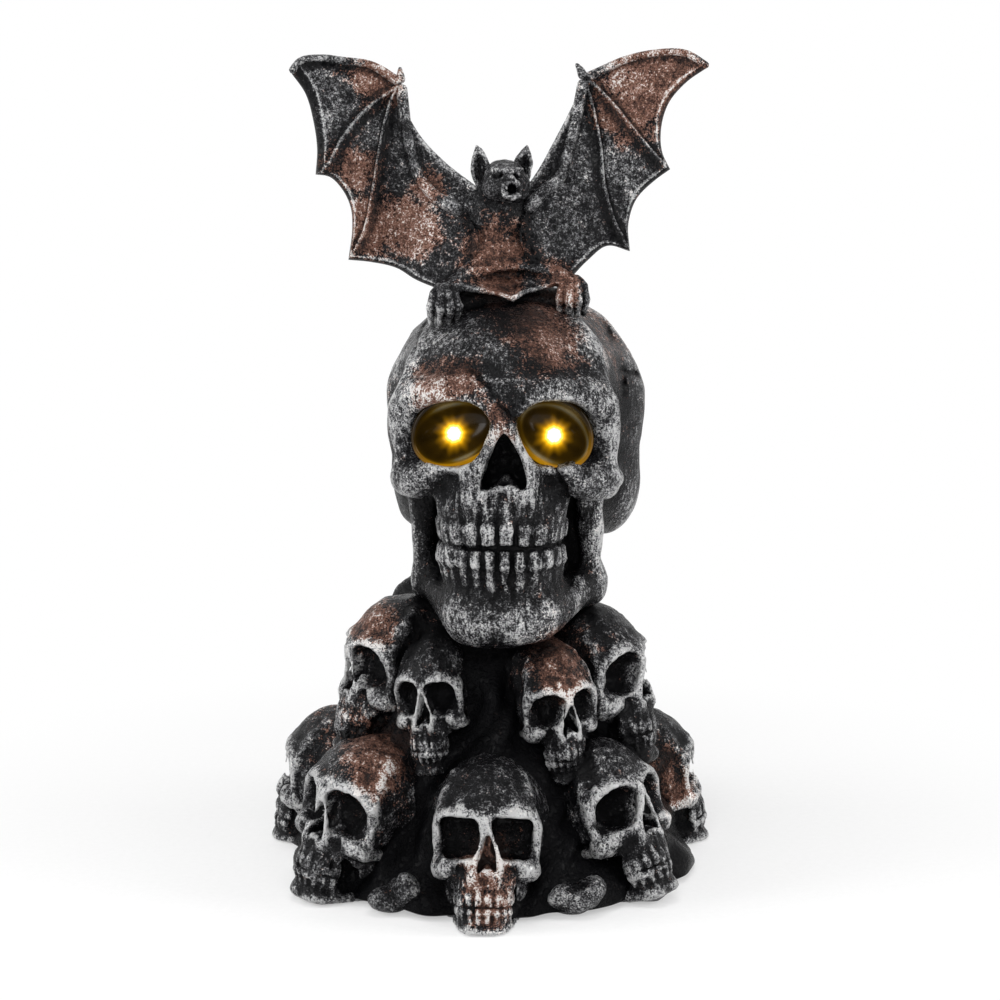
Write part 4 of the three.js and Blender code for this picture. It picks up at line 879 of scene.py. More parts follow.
def carve_bat(clay):
    """The bat in its own frame: x to its left, y backward, z up from the claws."""
    for at, radii, blend in (
        ((-0.3, 0.5, 29), (12, 9.4, 16), 4),
        ((-2.4, -1, 40.5), (13.4, 9.4, 10), 6),
        ((0, 0, 23), (11, 9.5, 9), 5),
        ((0, 3, 13), (16, 9, 9), 6),
        ((1, -2.4, 21.5), (12.5, 8.2, 6), 4),
        ((-0.4, -3, 47), (8.5, 8, 7), 5),
    ):
        clay.add(ball(at, radii), blend)
    clay.add(strand([(-4, 0, 44), (-13, 1, 43.5), (-20, 1, 44.5)], (6, 5, 3.6)), 6)
    clay.add(strand([(4, 0, 43), (11, 1, 42.5), (17, 1.5, 46.5)], (6, 4.6, 3.4)), 6)
    # Head, muzzle, cheeks
    clay.add(ball((-0.4, -8.5, 54), (9, 9.4, 7.8)), 3)
    clay.add(ball((0.6, -14.5, 50.6), (5.6, 6.4, 5)), 4)
    clay.add(ball((-5, -12, 50), (4.6, 4.8, 4.6)), 3)
    clay.add(ball((6, -11.5, 50), (4.2, 4.6, 4.6)), 3)
    clay.add(limb((0.2, -15, 57.6), (0.9, -20, 54.6), 1.5, 1.3), 2.5)
    clay.add(ball((0.9, -20.6, 54), (1.9, 1.5, 1.5)), 1.2)
    for side in (-1, 1):
        clay.cut(ball((0.9 + 0.85 * side, -22.2, 54), (0.55, 0.9, 0.6)), 0.4)
        clay.cut(ball((0.2 + 4.1 * side, -16.8, 55.9), (1.9, 2, 1.6)), 1.2)
        clay.add(ball((0.2 + 4.1 * side, -15.9, 55.9), (1.2, 1.2, 1.1)), 0.4)
        clay.add(limb((0.2 + 2 * side, -17, 57.7), (0.2 + 6.2 * side, -14.4, 57.9), 0.9, 0.8), 1.6)
    # Open mouth with its lips and fangs
    clay.cut(ball((1.2, -20.8, 49.8), (2.6, 4.4, 2.3)), 1)
    lip = [(-2.7, -18, 50.6), (-1.9, -20, 47.8), (1.2, -21, 46.5), (4.2, -19.8, 47.8), (4.9, -17.8, 50.6)]
    clay.add(strand(lip, (0.9, 1.1, 1.2, 1.1, 0.9)), 1.2)
    lip = [(-2.7, -18, 50.8), (-1.6, -20.4, 52.7), (0.9, -21, 53.2), (3.6, -20.2, 52.7), (4.9, -17.8, 50.8)]
    clay.add(strand(lip, (0.8, 0.9, 1, 0.9, 0.8)), 1.2)
    for x in (-0.9, 3.1):
        clay.add(limb((x, -20.3, 52.4), (x, -20.7, 49.9), 0.75, 0.35), 0.4)
        clay.add(limb((x + 0.3, -20.4, 47.2), (x + 0.2, -20.6, 49), 0.65, 0.35), 0.4)
    # Ears: a leaf with a pointed tip, hollowed in front, with ribs in the hollow
    for side, x, tilt, tip in ((-1, -9.6, -7, (-11, -2.5, 67)), (1, 8.2, 11, (10.2, -2.5, 66.8))):
        clay.add(ball((x, -3.5, 57.5), (4.1, 2.8, 8.4), (0, tilt, -18 * side)), 1.5)
        clay.add(limb((x + 0.1 * side, -3, 60), tip, 3.2, 0.7), 1.5)
        clay.cut(ball((x - 0.2, -6.4, 57.8), (2.7, 2.9, 7.2), (0, tilt, -18 * side)), 0.8)
        for shift in (-1.1, 0.9):
            clay.add(limb((x + shift, -3.9, 53), (x + shift + 0.8 * side, -3.9, 63.5), 0.5, 0.4), 0.6)
    # Hips on the crown, then legs, feet and toes
    hips = [(-24, -7, 0.5), (-10, -4.5, 2.5), (10, -4.5, 2.5), (24, -7, 1.5)]
    clay.add(strand(hips, (6.5, 7.5, 7.5, 6.5)), 5)
    for side, leg in (
        (-1, [(-6, -5, 21), (-13, -8.5, 17), (-20.5, -12, 12), (-26.5, -14, 8.4)]),
        (1, [(7, -5, 21), (15, -8.5, 18), (22, -11, 14.5), (27.5, -13, 11)]),
    ):
        clay.add(strand(leg, (5, 3.6, 3, 3.2)), 4)
        ankle = np.array(leg[-1])
        clay.add(ball(ankle + (0.6 * side, 0.5, -3.6), (5.6, 4.2, 6)), 2)
        for out, fore in ((-5, -0.6), (-1.7, -2.2), (1.7, -1.8), (5, 0.8)):
            toe = [(0.4 * out, 0.4 * fore - 1.6, 1.2), (0.85 * out, fore - 2.8, -1.8)]
            toe += [(1.12 * out, fore - 3.4, -7), (1.05 * out, fore - 1, -13.4)]
            clay.add(strand([ankle + (x * side, y, z) for x, y, z in toe], (2, 2.1, 2.1, 1.2)), 0.5)
    # Skin between the legs, its thick edge, and the fold where it leaves the trunk
    clay.add(tail_sheet(), 2)
    rim = [(-22, -15.6, 9.4), (-13, -16.4, 8.4), (-4, -16.8, 6.8), (1.8, -17.6, 4.8), (7, -16.8, 7.2)]
    rim += [(14, -16, 9.2), (22.5, -14, 10.8)]
    clay.add(strand(rim, (1.1, 1.1, 1.1, 1.3, 1.1, 1.1, 1)), 1.5)
    arc = [(-23.5, -14, 10), (-14, -12.4, 14.6), (-5, -11.4, 17.2), (2, -11.2, 17.8), (9, -11.4, 17.4)]
    clay.add(strand([*arc, (17, -12, 15.2), (25, -13, 12)], (2.2, 1.9, 1.7, 1.6, 1.7, 1.9, 2.2)), 3)
    clay.roughen([(3.4, 0.18), (1.8, 0.12)], 71)


bat_grain = 0.58
bat_clay = Clay(steps(-38, 38, bat_grain), steps(-28, 18, bat_grain), steps(-8, 70, bat_grain))
carve_bat(bat_clay)
bat_points, bat_faces = skin(bat_clay)
bat_ridge, bat_swell = relief(bat_clay, bat_points, 1, 4)
# Painted shade where the bat sits on the crown, though not on its most forward parts
bat_painted_shade = nearness(placed(bat_points, BAT_FRAME), crown, 9.0) * (bat_points[:, 1] > -14.5)
bat_values = {"ridge": bat_ridge, "swell": bat_swell, "crevice": bat_painted_shade}
bat = put("bat_trunk", placed(bat_points, BAT_FRAME), bat_faces, bat_values)
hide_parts("bat_body")
print("bat", len(bat_faces), "faces; ridge", np.percentile(bat_ridge, [5, 50, 95]).round(2))

# %% [markdown]
# ## Wings
# A wing is a fan of skin on four bones: the leading finger, two long fingers and the arm. Each panel
# between two bones is a patch worked out from its four edges, and bones, rims and hollows are heights
# added to it. The outlines are in the wing's frame, as span and rise in millimetres.

# %% Outlines of the wings
WINGS = {
    -1: {
        "bones": (
            [(42.5, 92.5), (54.5, 100), (66.5, 102), (75, 103), (84, 101.5), (87.5, 97)],
            [(42.5, 92.5), (46, 90), (57.5, 81.5), (67, 70), (74.5, 57.5), (77.5, 55.5)],
            [(42.5, 92.5), (46, 88), (49, 79), (52, 64), (55, 45.5), (58.5, 30.5), (64, 20.3)],
            [(42.5, 92.5), (39, 68.5), (34.5, 54), (27, 45.5), (15.5, 40), (10, 28.5), (14, 16), (27, 8)],
        ),
        "edges": (
            [(87.5, 97), (82, 89), (78.5, 77), (77, 66), (77.5, 55.5)],
            [(77.5, 55.5), (72, 54.5), (66.5, 49), (63, 41), (62.5, 34), (64, 20.3)],
            [(64, 20.3), (54.5, 19), (43.5, 16), (37, 12), (27, 8)],
        ),
        "front": [(42.5, 92.5), (40.8, 83.5), (34.5, 71.5), (24, 60.5), (10, 50)],
        "thumb": [(42.5, 92.5), (42.6, 95.5), (42.8, 99.5)],
        "lips": (4.2, 1.8, 1.8),
    },
    1: {
        "bones": (
            [(34.5, 94.5), (39, 96.5), (51, 102), (64, 105), (76, 105), (85.5, 99.5)],
            [(34.5, 94.5), (37, 93.5), (45.5, 86), (55, 74.5), (62.5, 65.5), (70, 57.5)],
            [(34.5, 94.5), (36, 91), (39, 81), (42, 66), (43.5, 50), (46.5, 38.5), (53.5, 23.5)],
            [
                *[(34.5, 94.5), (31.5, 80), (27.5, 64), (24.5, 54.5), (17, 48)],
                *[(10, 40), (7.5, 28.5), (14, 18), (28.5, 12)],
            ],
        ),
        "edges": (
            [(85.5, 99.5), (76.5, 93), (69.5, 84.5), (66.5, 74.5), (67, 64), (70, 57.5)],
            [(70, 57.5), (64, 53), (56, 44.5), (53, 35), (53.5, 23.5)],
            [(53.5, 23.5), (44.5, 25.5), (36, 19.5), (28.5, 12)],
        ),
        "front": [(34.5, 94.5), (30, 84.5), (21.5, 68.5), (15, 57), (8.5, 48)],
        "thumb": [(34.5, 94.5), (33, 98), (31, 101)],
        "lips": (2, 1.8, 1.8),
    },
}


def wing_depth(span, rise):
    """Runs back with the span as far as the wrist, then forward; the whole wing leans back as it rises."""
    out = span - 42
    beyond = (out + np.sqrt(out * out + 30)) / 2
    swept = (span - beyond) * math.tan(math.radians(14))
    return 3 + swept - beyond * math.tan(math.radians(22)) + (rise - 95) * math.tan(math.radians(12))


def panel(first, second, edge, s, v):
    """A patch between two curves from one point and the edge between their ends: the blend of the two
    curves, plus the share v of what the edge departs from the straight line between the ends."""
    a, b, e = curve(first, v), curve(second, v), curve(edge, s)
    s, v = s[..., None], v[..., None]
    straight = (1 - s) * np.asarray(first[-1], float) + s * np.asarray(second[-1], float)
    return (1 - s) * a + s * b + v * (e - straight)


def sheet(flat, side, proud, hollow, thickness):
    """A closed shell from a grid of span and rise: a front and a back that share the points of the rim."""
    depth = wing_depth(flat[..., 0], flat[..., 1]) + hollow
    rows, columns = depth.shape
    front = np.stack([side * flat[..., 0], depth - thickness / 2 - proud, flat[..., 1]], -1).reshape(-1, 3)
    back = np.stack([side * flat[..., 0], depth + thickness / 2, flat[..., 1]], -1).reshape(-1, 3)
    number = np.arange(rows * columns).reshape(rows, columns)
    rim = np.zeros((rows, columns), bool)
    rim[0], rim[-1], rim[:, 0], rim[:, -1] = True, True, True, True
    other = number + rows * columns
    other[rim] = number[rim]
    front_faces = grid_faces(rows, columns)
    back_faces = other.ravel()[front_faces][:, ::-1]
    points, faces = np.concatenate([front, back]), np.concatenate([front_faces, back_faces])
    used = np.unique(faces)
    renumber = np.full(len(points), -1)
    renumber[used] = np.arange(len(used))
    return points[used], outward(points[used], renumber[faces]), used


def bone_tube(path, radii, sides, count):
    """A tapered tube along a smooth curve, with round ends whose rings shrink as a half circle does."""
    path, radii = np.asarray(path, float), np.asarray(radii, float)
    t = np.linspace(0, 1, count)
    middle = curve(path, t)
    radius = np.interp(t, np.linspace(0, 1, len(radii)), radii)
    length = np.linalg.norm(np.diff(middle, axis=0), axis=1).sum()
    for end, near in ((0, t), (1, 1 - t)):
        cap = radius[-end] / length
        radius = radius * np.sqrt(np.clip(1 - (1 - np.clip(near / cap, 0, 1)) ** 2, 1e-3, 1))
    along = np.gradient(middle, axis=0)
    along /= np.linalg.norm(along, axis=1)[:, None]
    across = np.cross(along, (0.0, 1.0, 0.0))
    across /= np.linalg.norm(across, axis=1)[:, None]
    up = np.cross(across, along)
    angle = np.linspace(0, 2 * np.pi, sides, endpoint=False)
    ring = across[:, None] * np.cos(angle)[:, None] + up[:, None] * np.sin(angle)[:, None]
    return capped(middle[:, None] + radius[:, None, None] * ring)


def joined(parts):
    """Several closed shells as one mesh: points, faces renumbered, and their values end to end."""
    start, points, faces, values = 0, [], [], []
    for part_points, part_faces, part_values in parts:
        points.append(part_points)
        faces.append(part_faces + start)
        values.append(part_values)
        start += len(part_points)
    return np.concatenate(points), np.concatenate(faces), np.concatenate(values)


print("wing tools ready")


# %% Build the wings
def lift(path, side, forward):
    """A path of span and rise on the wing's depth, brought forward by some millimetres."""
    path = np.asarray(path, float)
    return np.stack([side * path[:, 0], wing_depth(path[:, 0], path[:, 1]) - forward, path[:, 1]], 1)


def membrane(wing, lines, wide):
    """The three panels as one grid. Returns its span and rise, what stands proud of it, what is hollow,
    how far each point lies from the rim, which sets its thickness, and two values for the paint, which
    carry painted shade beside the bones and on the rolled rim and painted light across each panel."""
    flats, prouds, hollows, edges, relief_and_painted_shade = [], [], [], [], []
    v = 0.03 + 0.97 * np.sin(np.linspace(0, np.pi / 2, lines))
    for n in range(3):
        s = 0.5 - 0.5 * np.cos(np.linspace(0, np.pi, wide))
        s = s if n == 2 else s[:-1]
        sv, vv = np.meshgrid(s, v)
        first, second, edge = wing["bones"][n], wing["bones"][n + 1], wing["edges"][n]
        flat = panel(first, second, edge, sv, vv)
        width = np.linalg.norm(curve(first, v) - curve(second, v), axis=1)[:, None]
        reach = np.linalg.norm(curve(edge, s) - np.asarray(first[0], float), axis=1)[None]
        to_first, to_second, to_edge = sv * width, (1 - sv) * width, (1 - vv) * reach
        bone = 0
        for here, away in ((n, to_first), (n + 1, to_second)):
            if here in (1, 2):
                bone = bone + np.exp(-((away / 1.15) ** 2)) * (1.1 - 0.5 * vv)
        lip = wing["lips"][n]
        crease = np.exp(-(((to_edge - lip) / 0.85) ** 2))
        rolled = np.clip(1 - to_edge / lip, 0, 1) ** 2
        nearest = np.minimum(to_first, to_second)
        billow = np.sin(np.pi * sv) * np.sin(np.pi * np.clip(vv, 0, 1) * 0.8)
        wander = 9 * sv + 2.2 * np.sin(2.7 * vv + n) + 1.3 * np.sin(7 * vv - 5 * sv)
        wrinkle = 0.06 * np.sin(2.9 * wander) * np.sin(1.7 * wander + 3 * vv) * np.sin(np.pi * sv)
        flats.append(flat)
        prouds.append(1.25 * bone + 0.55 * crease + wrinkle)
        hollows.append(1.5 * billow + 2.4 * rolled * (lip / 3))
        outer = to_edge if n else np.minimum(to_edge, to_first + 0.9)
        edges.append(np.minimum(outer, (1.2 + to_second) if n < 2 else to_second + 0.3))
        # Painted shade and light in the paint values: darker beside each bone and on the rolled rim, lighter
        # across the middle of each panel
        painted_shade_by_bones = np.exp(-(((nearest - 2.6) / 2) ** 2))
        ridge = -0.08 + 0.62 * bone + 0.55 * crease + 0.9 * wrinkle - 0.3 * painted_shade_by_bones - 0.35 * (rolled > 0)
        relief_and_painted_shade.append(np.stack([ridge, 1.1 * billow - 0.6 * painted_shade_by_bones - 0.5 * (rolled > 0)], -1))
    flats, prouds, hollows, edges = (np.concatenate(g, 1) for g in (flats, prouds, hollows, edges))
    return flats, prouds, hollows, edges, np.concatenate(relief_and_painted_shade, 1)


def rounded(distance, thickness, round_over):
    """Full thickness inside, and a half circle's profile near the rim."""
    share = np.clip(distance / round_over, 0, 1)
    return thickness * np.sqrt(np.clip(1 - (1 - share) ** 2, 0, 1))


wing_lines, wing_wide = ((110, 52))
# Thickness of the skin and how far in from the rim it is full, then the same for the small skin in front
SKIN, SMALL_SKIN, ROD_SIDES = (2.6, 1.4), (2.4, 1.3), 14
for side, wing in WINGS.items():
    flat, proud, hollow, edge, relief_and_painted_shade = membrane(wing, wing_lines, wing_wide)
    thickness = rounded(edge, *SKIN)
    points, faces, used = sheet(flat, side, proud * np.clip(edge, 0, 1), hollow, thickness)
    both = np.concatenate([relief_and_painted_shade.reshape(-1, 2), relief_and_painted_shade.reshape(-1, 2) * 0.4 - 0.1])[used]
    parts = [(points, faces, both)]
    # The small skin in front of the arm
    arm = wing["bones"][3][: 5 if side < 0 else 6]
    sv, vv = np.meshgrid(np.linspace(0, 1, wing_wide), np.linspace(0.03, 1, wing_lines // 2))
    small = panel(wing["front"], arm, [wing["front"][-1], arm[-1]], sv, vv)
    width = np.linalg.norm(curve(wing["front"], vv[:, 0]) - curve(arm, vv[:, 0]), axis=1)[:, None]
    from_front = sv * width
    hem = np.exp(-(((from_front - 1) / 0.9) ** 2))
    hollow = 0.8 * np.sin(np.pi * sv) - 0.6
    thickness = rounded(np.minimum(from_front, 2), *SMALL_SKIN)
    points, faces, used = sheet(small, side, 0.5 * hem, hollow, thickness)
    # The small skin is painted darker towards the arm, as painted shade beside the bone
    ridge = 0.05 + 0.4 * hem - 0.25 * sv
    both = np.stack([ridge, 0.4 - sv], -1).reshape(-1, 2)
    parts.append((points, faces, np.concatenate([both, both * 0.4 - 0.1])[used]))
    # Bones that stand out of the skin as rods
    for path, radii, count in (
        (lift(arm, side, 0.9), (2.5, 2.4, 2.3, 2.6, 3.2), 70),
        (lift(wing["bones"][0], side, 0.4), (2.2, 1.8, 1.7, 1.6, 1.5), 70),
        (lift(wing["thumb"], side, 1.2), (2.3, 1.7, 0.6), 20),
    ):
        points, faces = bone_tube(path, radii, ROD_SIDES, count)
        t = np.concatenate([np.repeat(np.linspace(0, 1, count), ROD_SIDES), [0, 1]])
        both = np.stack([0.14 + 0.08 * np.sin(37 * t), 0.3 + 0 * t], -1)
        parts.append((points, faces, both))
    points, faces, values = joined(parts)
    name = "left_wing_cast" if side < 0 else "right_wing_cast"
    piece = put(name, placed(points, WING_FRAME), faces, {"ridge": values[:, 0], "swell": values[:, 1]})
    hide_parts("left_wing" if side < 0 else "right_wing")
    print(name, len(faces), "faces, top", (points[:, 2].max() + BAT_PLACE[2]).round(1))

# %% [markdown]
# ## Eye bowls
# Each socket holds a moulded bowl of smoky amber plastic, and the lamp's tip pokes through its middle. The
# bowl is a little wider than the socket, so its edge is buried in the bone, as a pressed-in bowl's is. The
# bowl gives out painted light, kept as a value at its points: a painted halo and a star of painted glare
# round the lamp, and a painted band of light along the rim, strongest at its lower side.

# %% Bowls
# The lamps' middles in the skull's frame
LAMP_X, LAMP_Z = 20.74, 87.84
# The bowl: wall, depth, half height, slant of its long axis, and how much narrower it is than the socket
WALL, BOWL_DEPTH, BOWL_HALF_HEIGHT, SLANT, NARROWER = 1.7, 15.5, 13.6, 3.6, 0.7


def eye_bowl(side, middle, half):
    """Half an ellipsoid a little inside the socket and its copy a wall further out, buried in the bone: the
    angle w runs from the pole to the edge and back, the angle u goes round, and the edge stays further in
    on the temple side, where the socket's rim runs back. Returns points, faces and the painted light at
    each point: a halo and a star of glare round the lamp, and a band along the rim."""
    columns, rows = 120, 60
    u = np.linspace(0, 2 * np.pi, columns, endpoint=False)[None]
    edge = 1.42 - 0.34 * np.clip(np.cos(u) * side, 0, 1) ** 1.5
    share = np.linspace(0.02, 1, rows)
    share = np.concatenate([share, share[::-1]])[:, None]
    w, grow = share * edge, np.repeat([0.0, WALL], rows)[:, None]
    x = middle * side + (half - NARROWER + grow) * np.sin(w) * np.cos(u)
    y = SOCKET_Y + (BOWL_DEPTH + grow) * np.cos(w)
    z = SOCKET_Z + (BOWL_HALF_HEIGHT + grow) * np.sin(w) * np.sin(u) - SLANT * np.sin(w) * np.cos(u) * side
    points, faces = capped(np.stack([x, y, z], -1))
    aside, above = points[:, 0] - LAMP_X * side, points[:, 2] - LAMP_Z
    away, angle = np.hypot(aside, above), np.arctan2(above, aside)
    # Painted light: a halo round the lamp, and a star of painted glare with rays seven and thirteen round
    painted_glare_rays = 0.74 + 0.14 * np.cos(7 * angle + side) + 0.12 * np.cos(13 * angle - 2)
    glow = 1.25 * np.exp(-((away / 3.3) ** 2)) + painted_glare_rays * (0.5 * np.exp(-away / 2.9) + 0.15 * np.exp(-away / 7))
    # Painted light along the rim: a band near the bowl's edge, strongest at its lower side
    near_edge = np.append(np.tile(share, (1, columns)).ravel() ** 14, [0, 0])
    painted_rim_light = 0.4 - 0.75 * np.sin(angle) - 0.25 * side * np.cos(angle) + 0.3 * (side > 0) * np.cos(angle)
    return points, faces, glow + 0.17 * near_edge * np.clip(painted_rim_light, 0, 1)


for side, middle, half in SOCKETS:
    name = "left" if side < 0 else "right"
    points, faces, glow = eye_bowl(side, middle, half)
    bowl = put(f"{name}_eye_bowl", placed(points, SKULL_FRAME), faces, {"glow": glow})
    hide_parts(f"{name}_eye_lens")
print("eye bowls, strongest glow", glow.max().round(2))

# %% [markdown]
# ## Springs
# Under the battery door two coil springs press on the flat ends of the cells. The solid has plain cones in
# their place. Here each is a wire wound round a cone: from the cell to the contact plate the angle, the
# distance and the radius grow together.

# %% Coil springs
SPRING_LENGTH, TURNS, WIRE_RADIUS = 3.4, 3.5, 0.38
SPRINGS = {"spring_of_the_rear": ("battery_1", 1), "spring_of_the_front": ("battery_2", -1)}
for name, (cell_node, end) in SPRINGS.items():
    low, high = (np.array(corner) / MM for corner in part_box(cell_node))
    middle, flat_end = (low + high) / 2, high[1] if end > 0 else low[1]
    t = np.linspace(0, 1, int(TURNS * 14))
    angle, reach = 2 * np.pi * TURNS * t, 2.75 + 1.2 * t
    path = [middle[0] + reach * np.cos(angle), flat_end + end * (0.45 + (SPRING_LENGTH - 0.9) * t)]
    path = np.stack([*path, middle[2] + reach * np.sin(angle)], 1)
    points, faces = bone_tube(path, (WIRE_RADIUS, WIRE_RADIUS), 8, 150)
    spring = put(name, points, faces)
    print(name, "from", path.min(0).round(1), "to", path.max(0).round(1))

# %% [markdown]
# ## The finishes
# The real casting is sprayed gloss black, dry-brushed with silver that only catches what stands proud, and
# dabbed with a copper that keeps a silver sparkle. So the paint reads the relief kept at each point of a
# piece, and adds grains of several sizes. What more than one material uses is a node group.

# %% Wiring
def wire(tree, kind, inputs=None, **settings):
    """One shader node with its settings, and its inputs either set to a value or linked to a socket."""
    node = tree.nodes.new("ShaderNode" + kind)
    for name, value in settings.items():
        setattr(node, name, value)
    for key, value in (inputs or {}).items():
        if isinstance(value, bpy.types.NodeSocket):
            tree.links.new(value, node.inputs[key])
        else:
            node.inputs[key].default_value = value
    return node


def total(tree, start, *terms):
    """start plus each value times its weight."""
    for value, weight in terms:
        start = wire(tree, "Math", {0: value, 1: weight, 2: start}, operation="MULTIPLY_ADD").outputs[0]
    return start


def centred(tree, noise):
    """Noise moved down, so that it runs from about -0.5 to 0.5."""
    return total(tree, -0.5, (noise, 1.0))


def maths(tree, operation, *values):
    """One step of arithmetic on numbers or sockets."""
    return wire(tree, "Math", dict(enumerate(values)), operation=operation).outputs[0]


def grains(tree, where, size, detail=2.0):
    """Noise with lumps of a size in millimetres."""
    values = {"Vector": where, "Scale": 1000 / size, "Detail": detail, "Roughness": 0.6}
    return wire(tree, "TexNoise", values).outputs["Fac"]


def between(tree, value, low, high, start=0.0, end=1.0):
    """A soft step from start to end as the value goes from low to high."""
    limits = {"Value": value, 1: low, 2: high, 3: start, 4: end}
    return wire(tree, "MapRange", limits, interpolation_type="SMOOTHSTEP").outputs[0]


def ramp(tree, value, stops):
    """A colour for each value: stops are (place, red, green, blue)."""
    node = wire(tree, "ValToRGB", {"Fac": value})
    points = node.color_ramp.elements
    while len(points) < len(stops):
        points.new(0.5)
    for point, (place, *colour) in zip(points, stops):
        point.position, point.color = place, (*colour, 1)
    return node.outputs["Color"]


def blend_colours(tree, share, first, second):
    """The first colour where the share is 0 and the second where it is 1."""
    return wire(tree, "Mix", {0: share, 6: first, 7: second}, data_type="RGBA").outputs[2]


def new_group(name, inputs, outputs):
    """An empty node group with named sockets, and its two end nodes."""
    tree = bpy.data.node_groups.new(name, "ShaderNodeTree")
    for way, sockets in (("INPUT", inputs), ("OUTPUT", outputs)):
        for label, kind in sockets.items():
            tree.interface.new_socket(label, in_out=way, socket_type="NodeSocket" + kind)
    return tree, tree.nodes.new("NodeGroupInput").outputs, tree.nodes.new("NodeGroupOutput").inputs


print("wiring ready")

# %% [markdown]
# ### Dry-brushed lacquer
# Cover is how heavily the brush went over the piece, Speck how much of the silver is left as separate
# grains, and Stroke how much it is drawn out upright. Ridge and Swell raise the cover; the painted shade
# between parts and in the gaps of the teeth, kept with the touches of the brush, lowers it; and Warm says
# where the copper was dabbed. Veins are the thin dark lines where a noise crosses its middle.

# %% Dry-brush group
inputs = {"Place": "Vector", "Ridge": "Float", "Swell": "Float", "Crevice": "Float", "Warm": "Float"}
inputs.update({"Cover": "Float", "Speck": "Float", "Stroke": "Float"})
outputs = {"Colour": "Color", "Metal": "Float", "Gloss": "Float", "Height": "Float"}
dry_brush, given, made = new_group("dry_brushed_lacquer", inputs, outputs)
where = given["Place"]
dust = grains(dry_brush, where, 0.65, 1.0)
crumbs = grains(dry_brush, where, 1.4, 3.0)
blotches = grains(dry_brush, where, 7.0, 4.0)
drawn = wire(dry_brush, "VectorMath", {0: where, 1: (1, 1, 0.2)}, operation="MULTIPLY").outputs[0]
strokes = centred(dry_brush, grains(dry_brush, drawn, 1.3, 3.0))
strokes = maths(dry_brush, "MULTIPLY", strokes, given["Stroke"])
clouds = grains(dry_brush, where, 30.0)
folded = maths(dry_brush, "ABSOLUTE", centred(dry_brush, grains(dry_brush, where, 4.0, 5.0)))
veins = total(dry_brush, 0.22, (between(dry_brush, folded, 0.0, 0.09), -0.5))
specks = maths(dry_brush, "MULTIPLY", centred(dry_brush, dust), given["Speck"])
brushed = total(
    dry_brush,
    given["Cover"],
    (between(dry_brush, given["Ridge"], -0.5, 0.45, -0.46, 0.26), 1.25),
    (given["Swell"], 0.2),
    # Painted shade between parts and in the gaps of the teeth, with the touches, takes silver away
    (given["Crevice"], -1.0),
    (centred(dry_brush, crumbs), 1.0),
    (strokes, 1.3),
    (centred(dry_brush, blotches), 1.0),
    (centred(dry_brush, clouds), 0.9),
    (veins, 0.55),
    (specks, 1.8),
)
silver = between(dry_brush, brushed, -0.32, 1.18)
SILVER = [(0, 0.002, 0.002, 0.0025), (0.25, 0.008, 0.008, 0.009), (0.46, 0.04, 0.04, 0.042)]
SILVER += [(0.7, 0.15, 0.15, 0.155), (1, 0.56, 0.56, 0.56)]
COPPER = [(0, 0.012, 0.007, 0.006), (0.3, 0.1, 0.048, 0.034), (0.58, 0.23, 0.118, 0.086)]
COPPER += [(0.72, 0.34, 0.23, 0.19), (0.9, 0.75, 0.72, 0.7)]
dabbed = total(
    dry_brush,
    given["Warm"],
    (centred(dry_brush, blotches), 1.6),
    (centred(dry_brush, crumbs), 1.3),
    (specks, 1.2),
)
copper = between(dry_brush, dabbed, 0.44, 0.54)
colours = ramp(dry_brush, silver, SILVER), ramp(dry_brush, silver, COPPER)
dry_brush.links.new(blend_colours(dry_brush, copper, *colours), made["Colour"])
dry_brush.links.new(between(dry_brush, silver, 0.1, 0.8, 0.0, 0.75), made["Metal"])
rough = total(dry_brush, 0.22, (silver, 0.12), (copper, 0.08), (centred(dry_brush, crumbs), 0.2))
dry_brush.links.new(rough, made["Gloss"])
layers = (silver, 0.5), (dust, 0.5), (crumbs, 0.8), (strokes, 1.1), (blotches, 0.8), (veins, 2.2)
dry_brush.links.new(total(dry_brush, 0, *layers), made["Height"])
print("dry-brush group", len(dry_brush.nodes), "nodes")

# %% [markdown]
# ### Where the copper was dabbed
# The painter dabbed copper by hand, so its patches are listed one by one: a middle in millimetres and a
# radius. Each point of a piece keeps how deep it lies in the nearest patch, which counts depth at a third,
# because a dab reaches as far as the surface lets it.

# %% Copper patches
DABS = [
    (-57, 0, 301, 10), (-49, -5, 279, 13), (-33, -5, 278, 12), (-48, 0, 342, 11), (-26, -10, 294, 6),
    (69, 0, 337, 21), (58, 0, 326, 12), (2, -22, 269, 12), (29, -25, 255, 8), (4, -28, 255, 8),
    (24, -50, 236, 12), (20, -40, 241, 9), (-22, -55, 214, 10), (-12, -58, 219, 7), (4, -62, 206, 5),
    (5, -64, 197, 5), (-47, -65, 61, 13), (-58, -60, 70, 9), (-1, -100, 27, 10), (0, -100, 12, 8),
    (29, -62, 102, 12), (31, -66, 93, 8), (-53, -35, 113, 11), (83, -10, 29, 11), (77, -10, 43, 8),
    (40, 30, 225, 16), (-30, 45, 205, 14), (0, 60, 178, 12), (-60, 50, 55, 13), (50, 62, 40, 12),
]  # fmt: skip


def warmth(points):
    """1 in the middle of a dab, a half at its edge and falling to 0 beyond, as a bell does."""
    most = np.zeros(len(points))
    for x, y, z, radius in DABS:
        away = (points[:, 0] - x) ** 2 + ((points[:, 1] - y) / 3) ** 2 + (points[:, 2] - z) ** 2
        most = np.maximum(most, np.exp(-0.7 * away / radius**2))
    return most


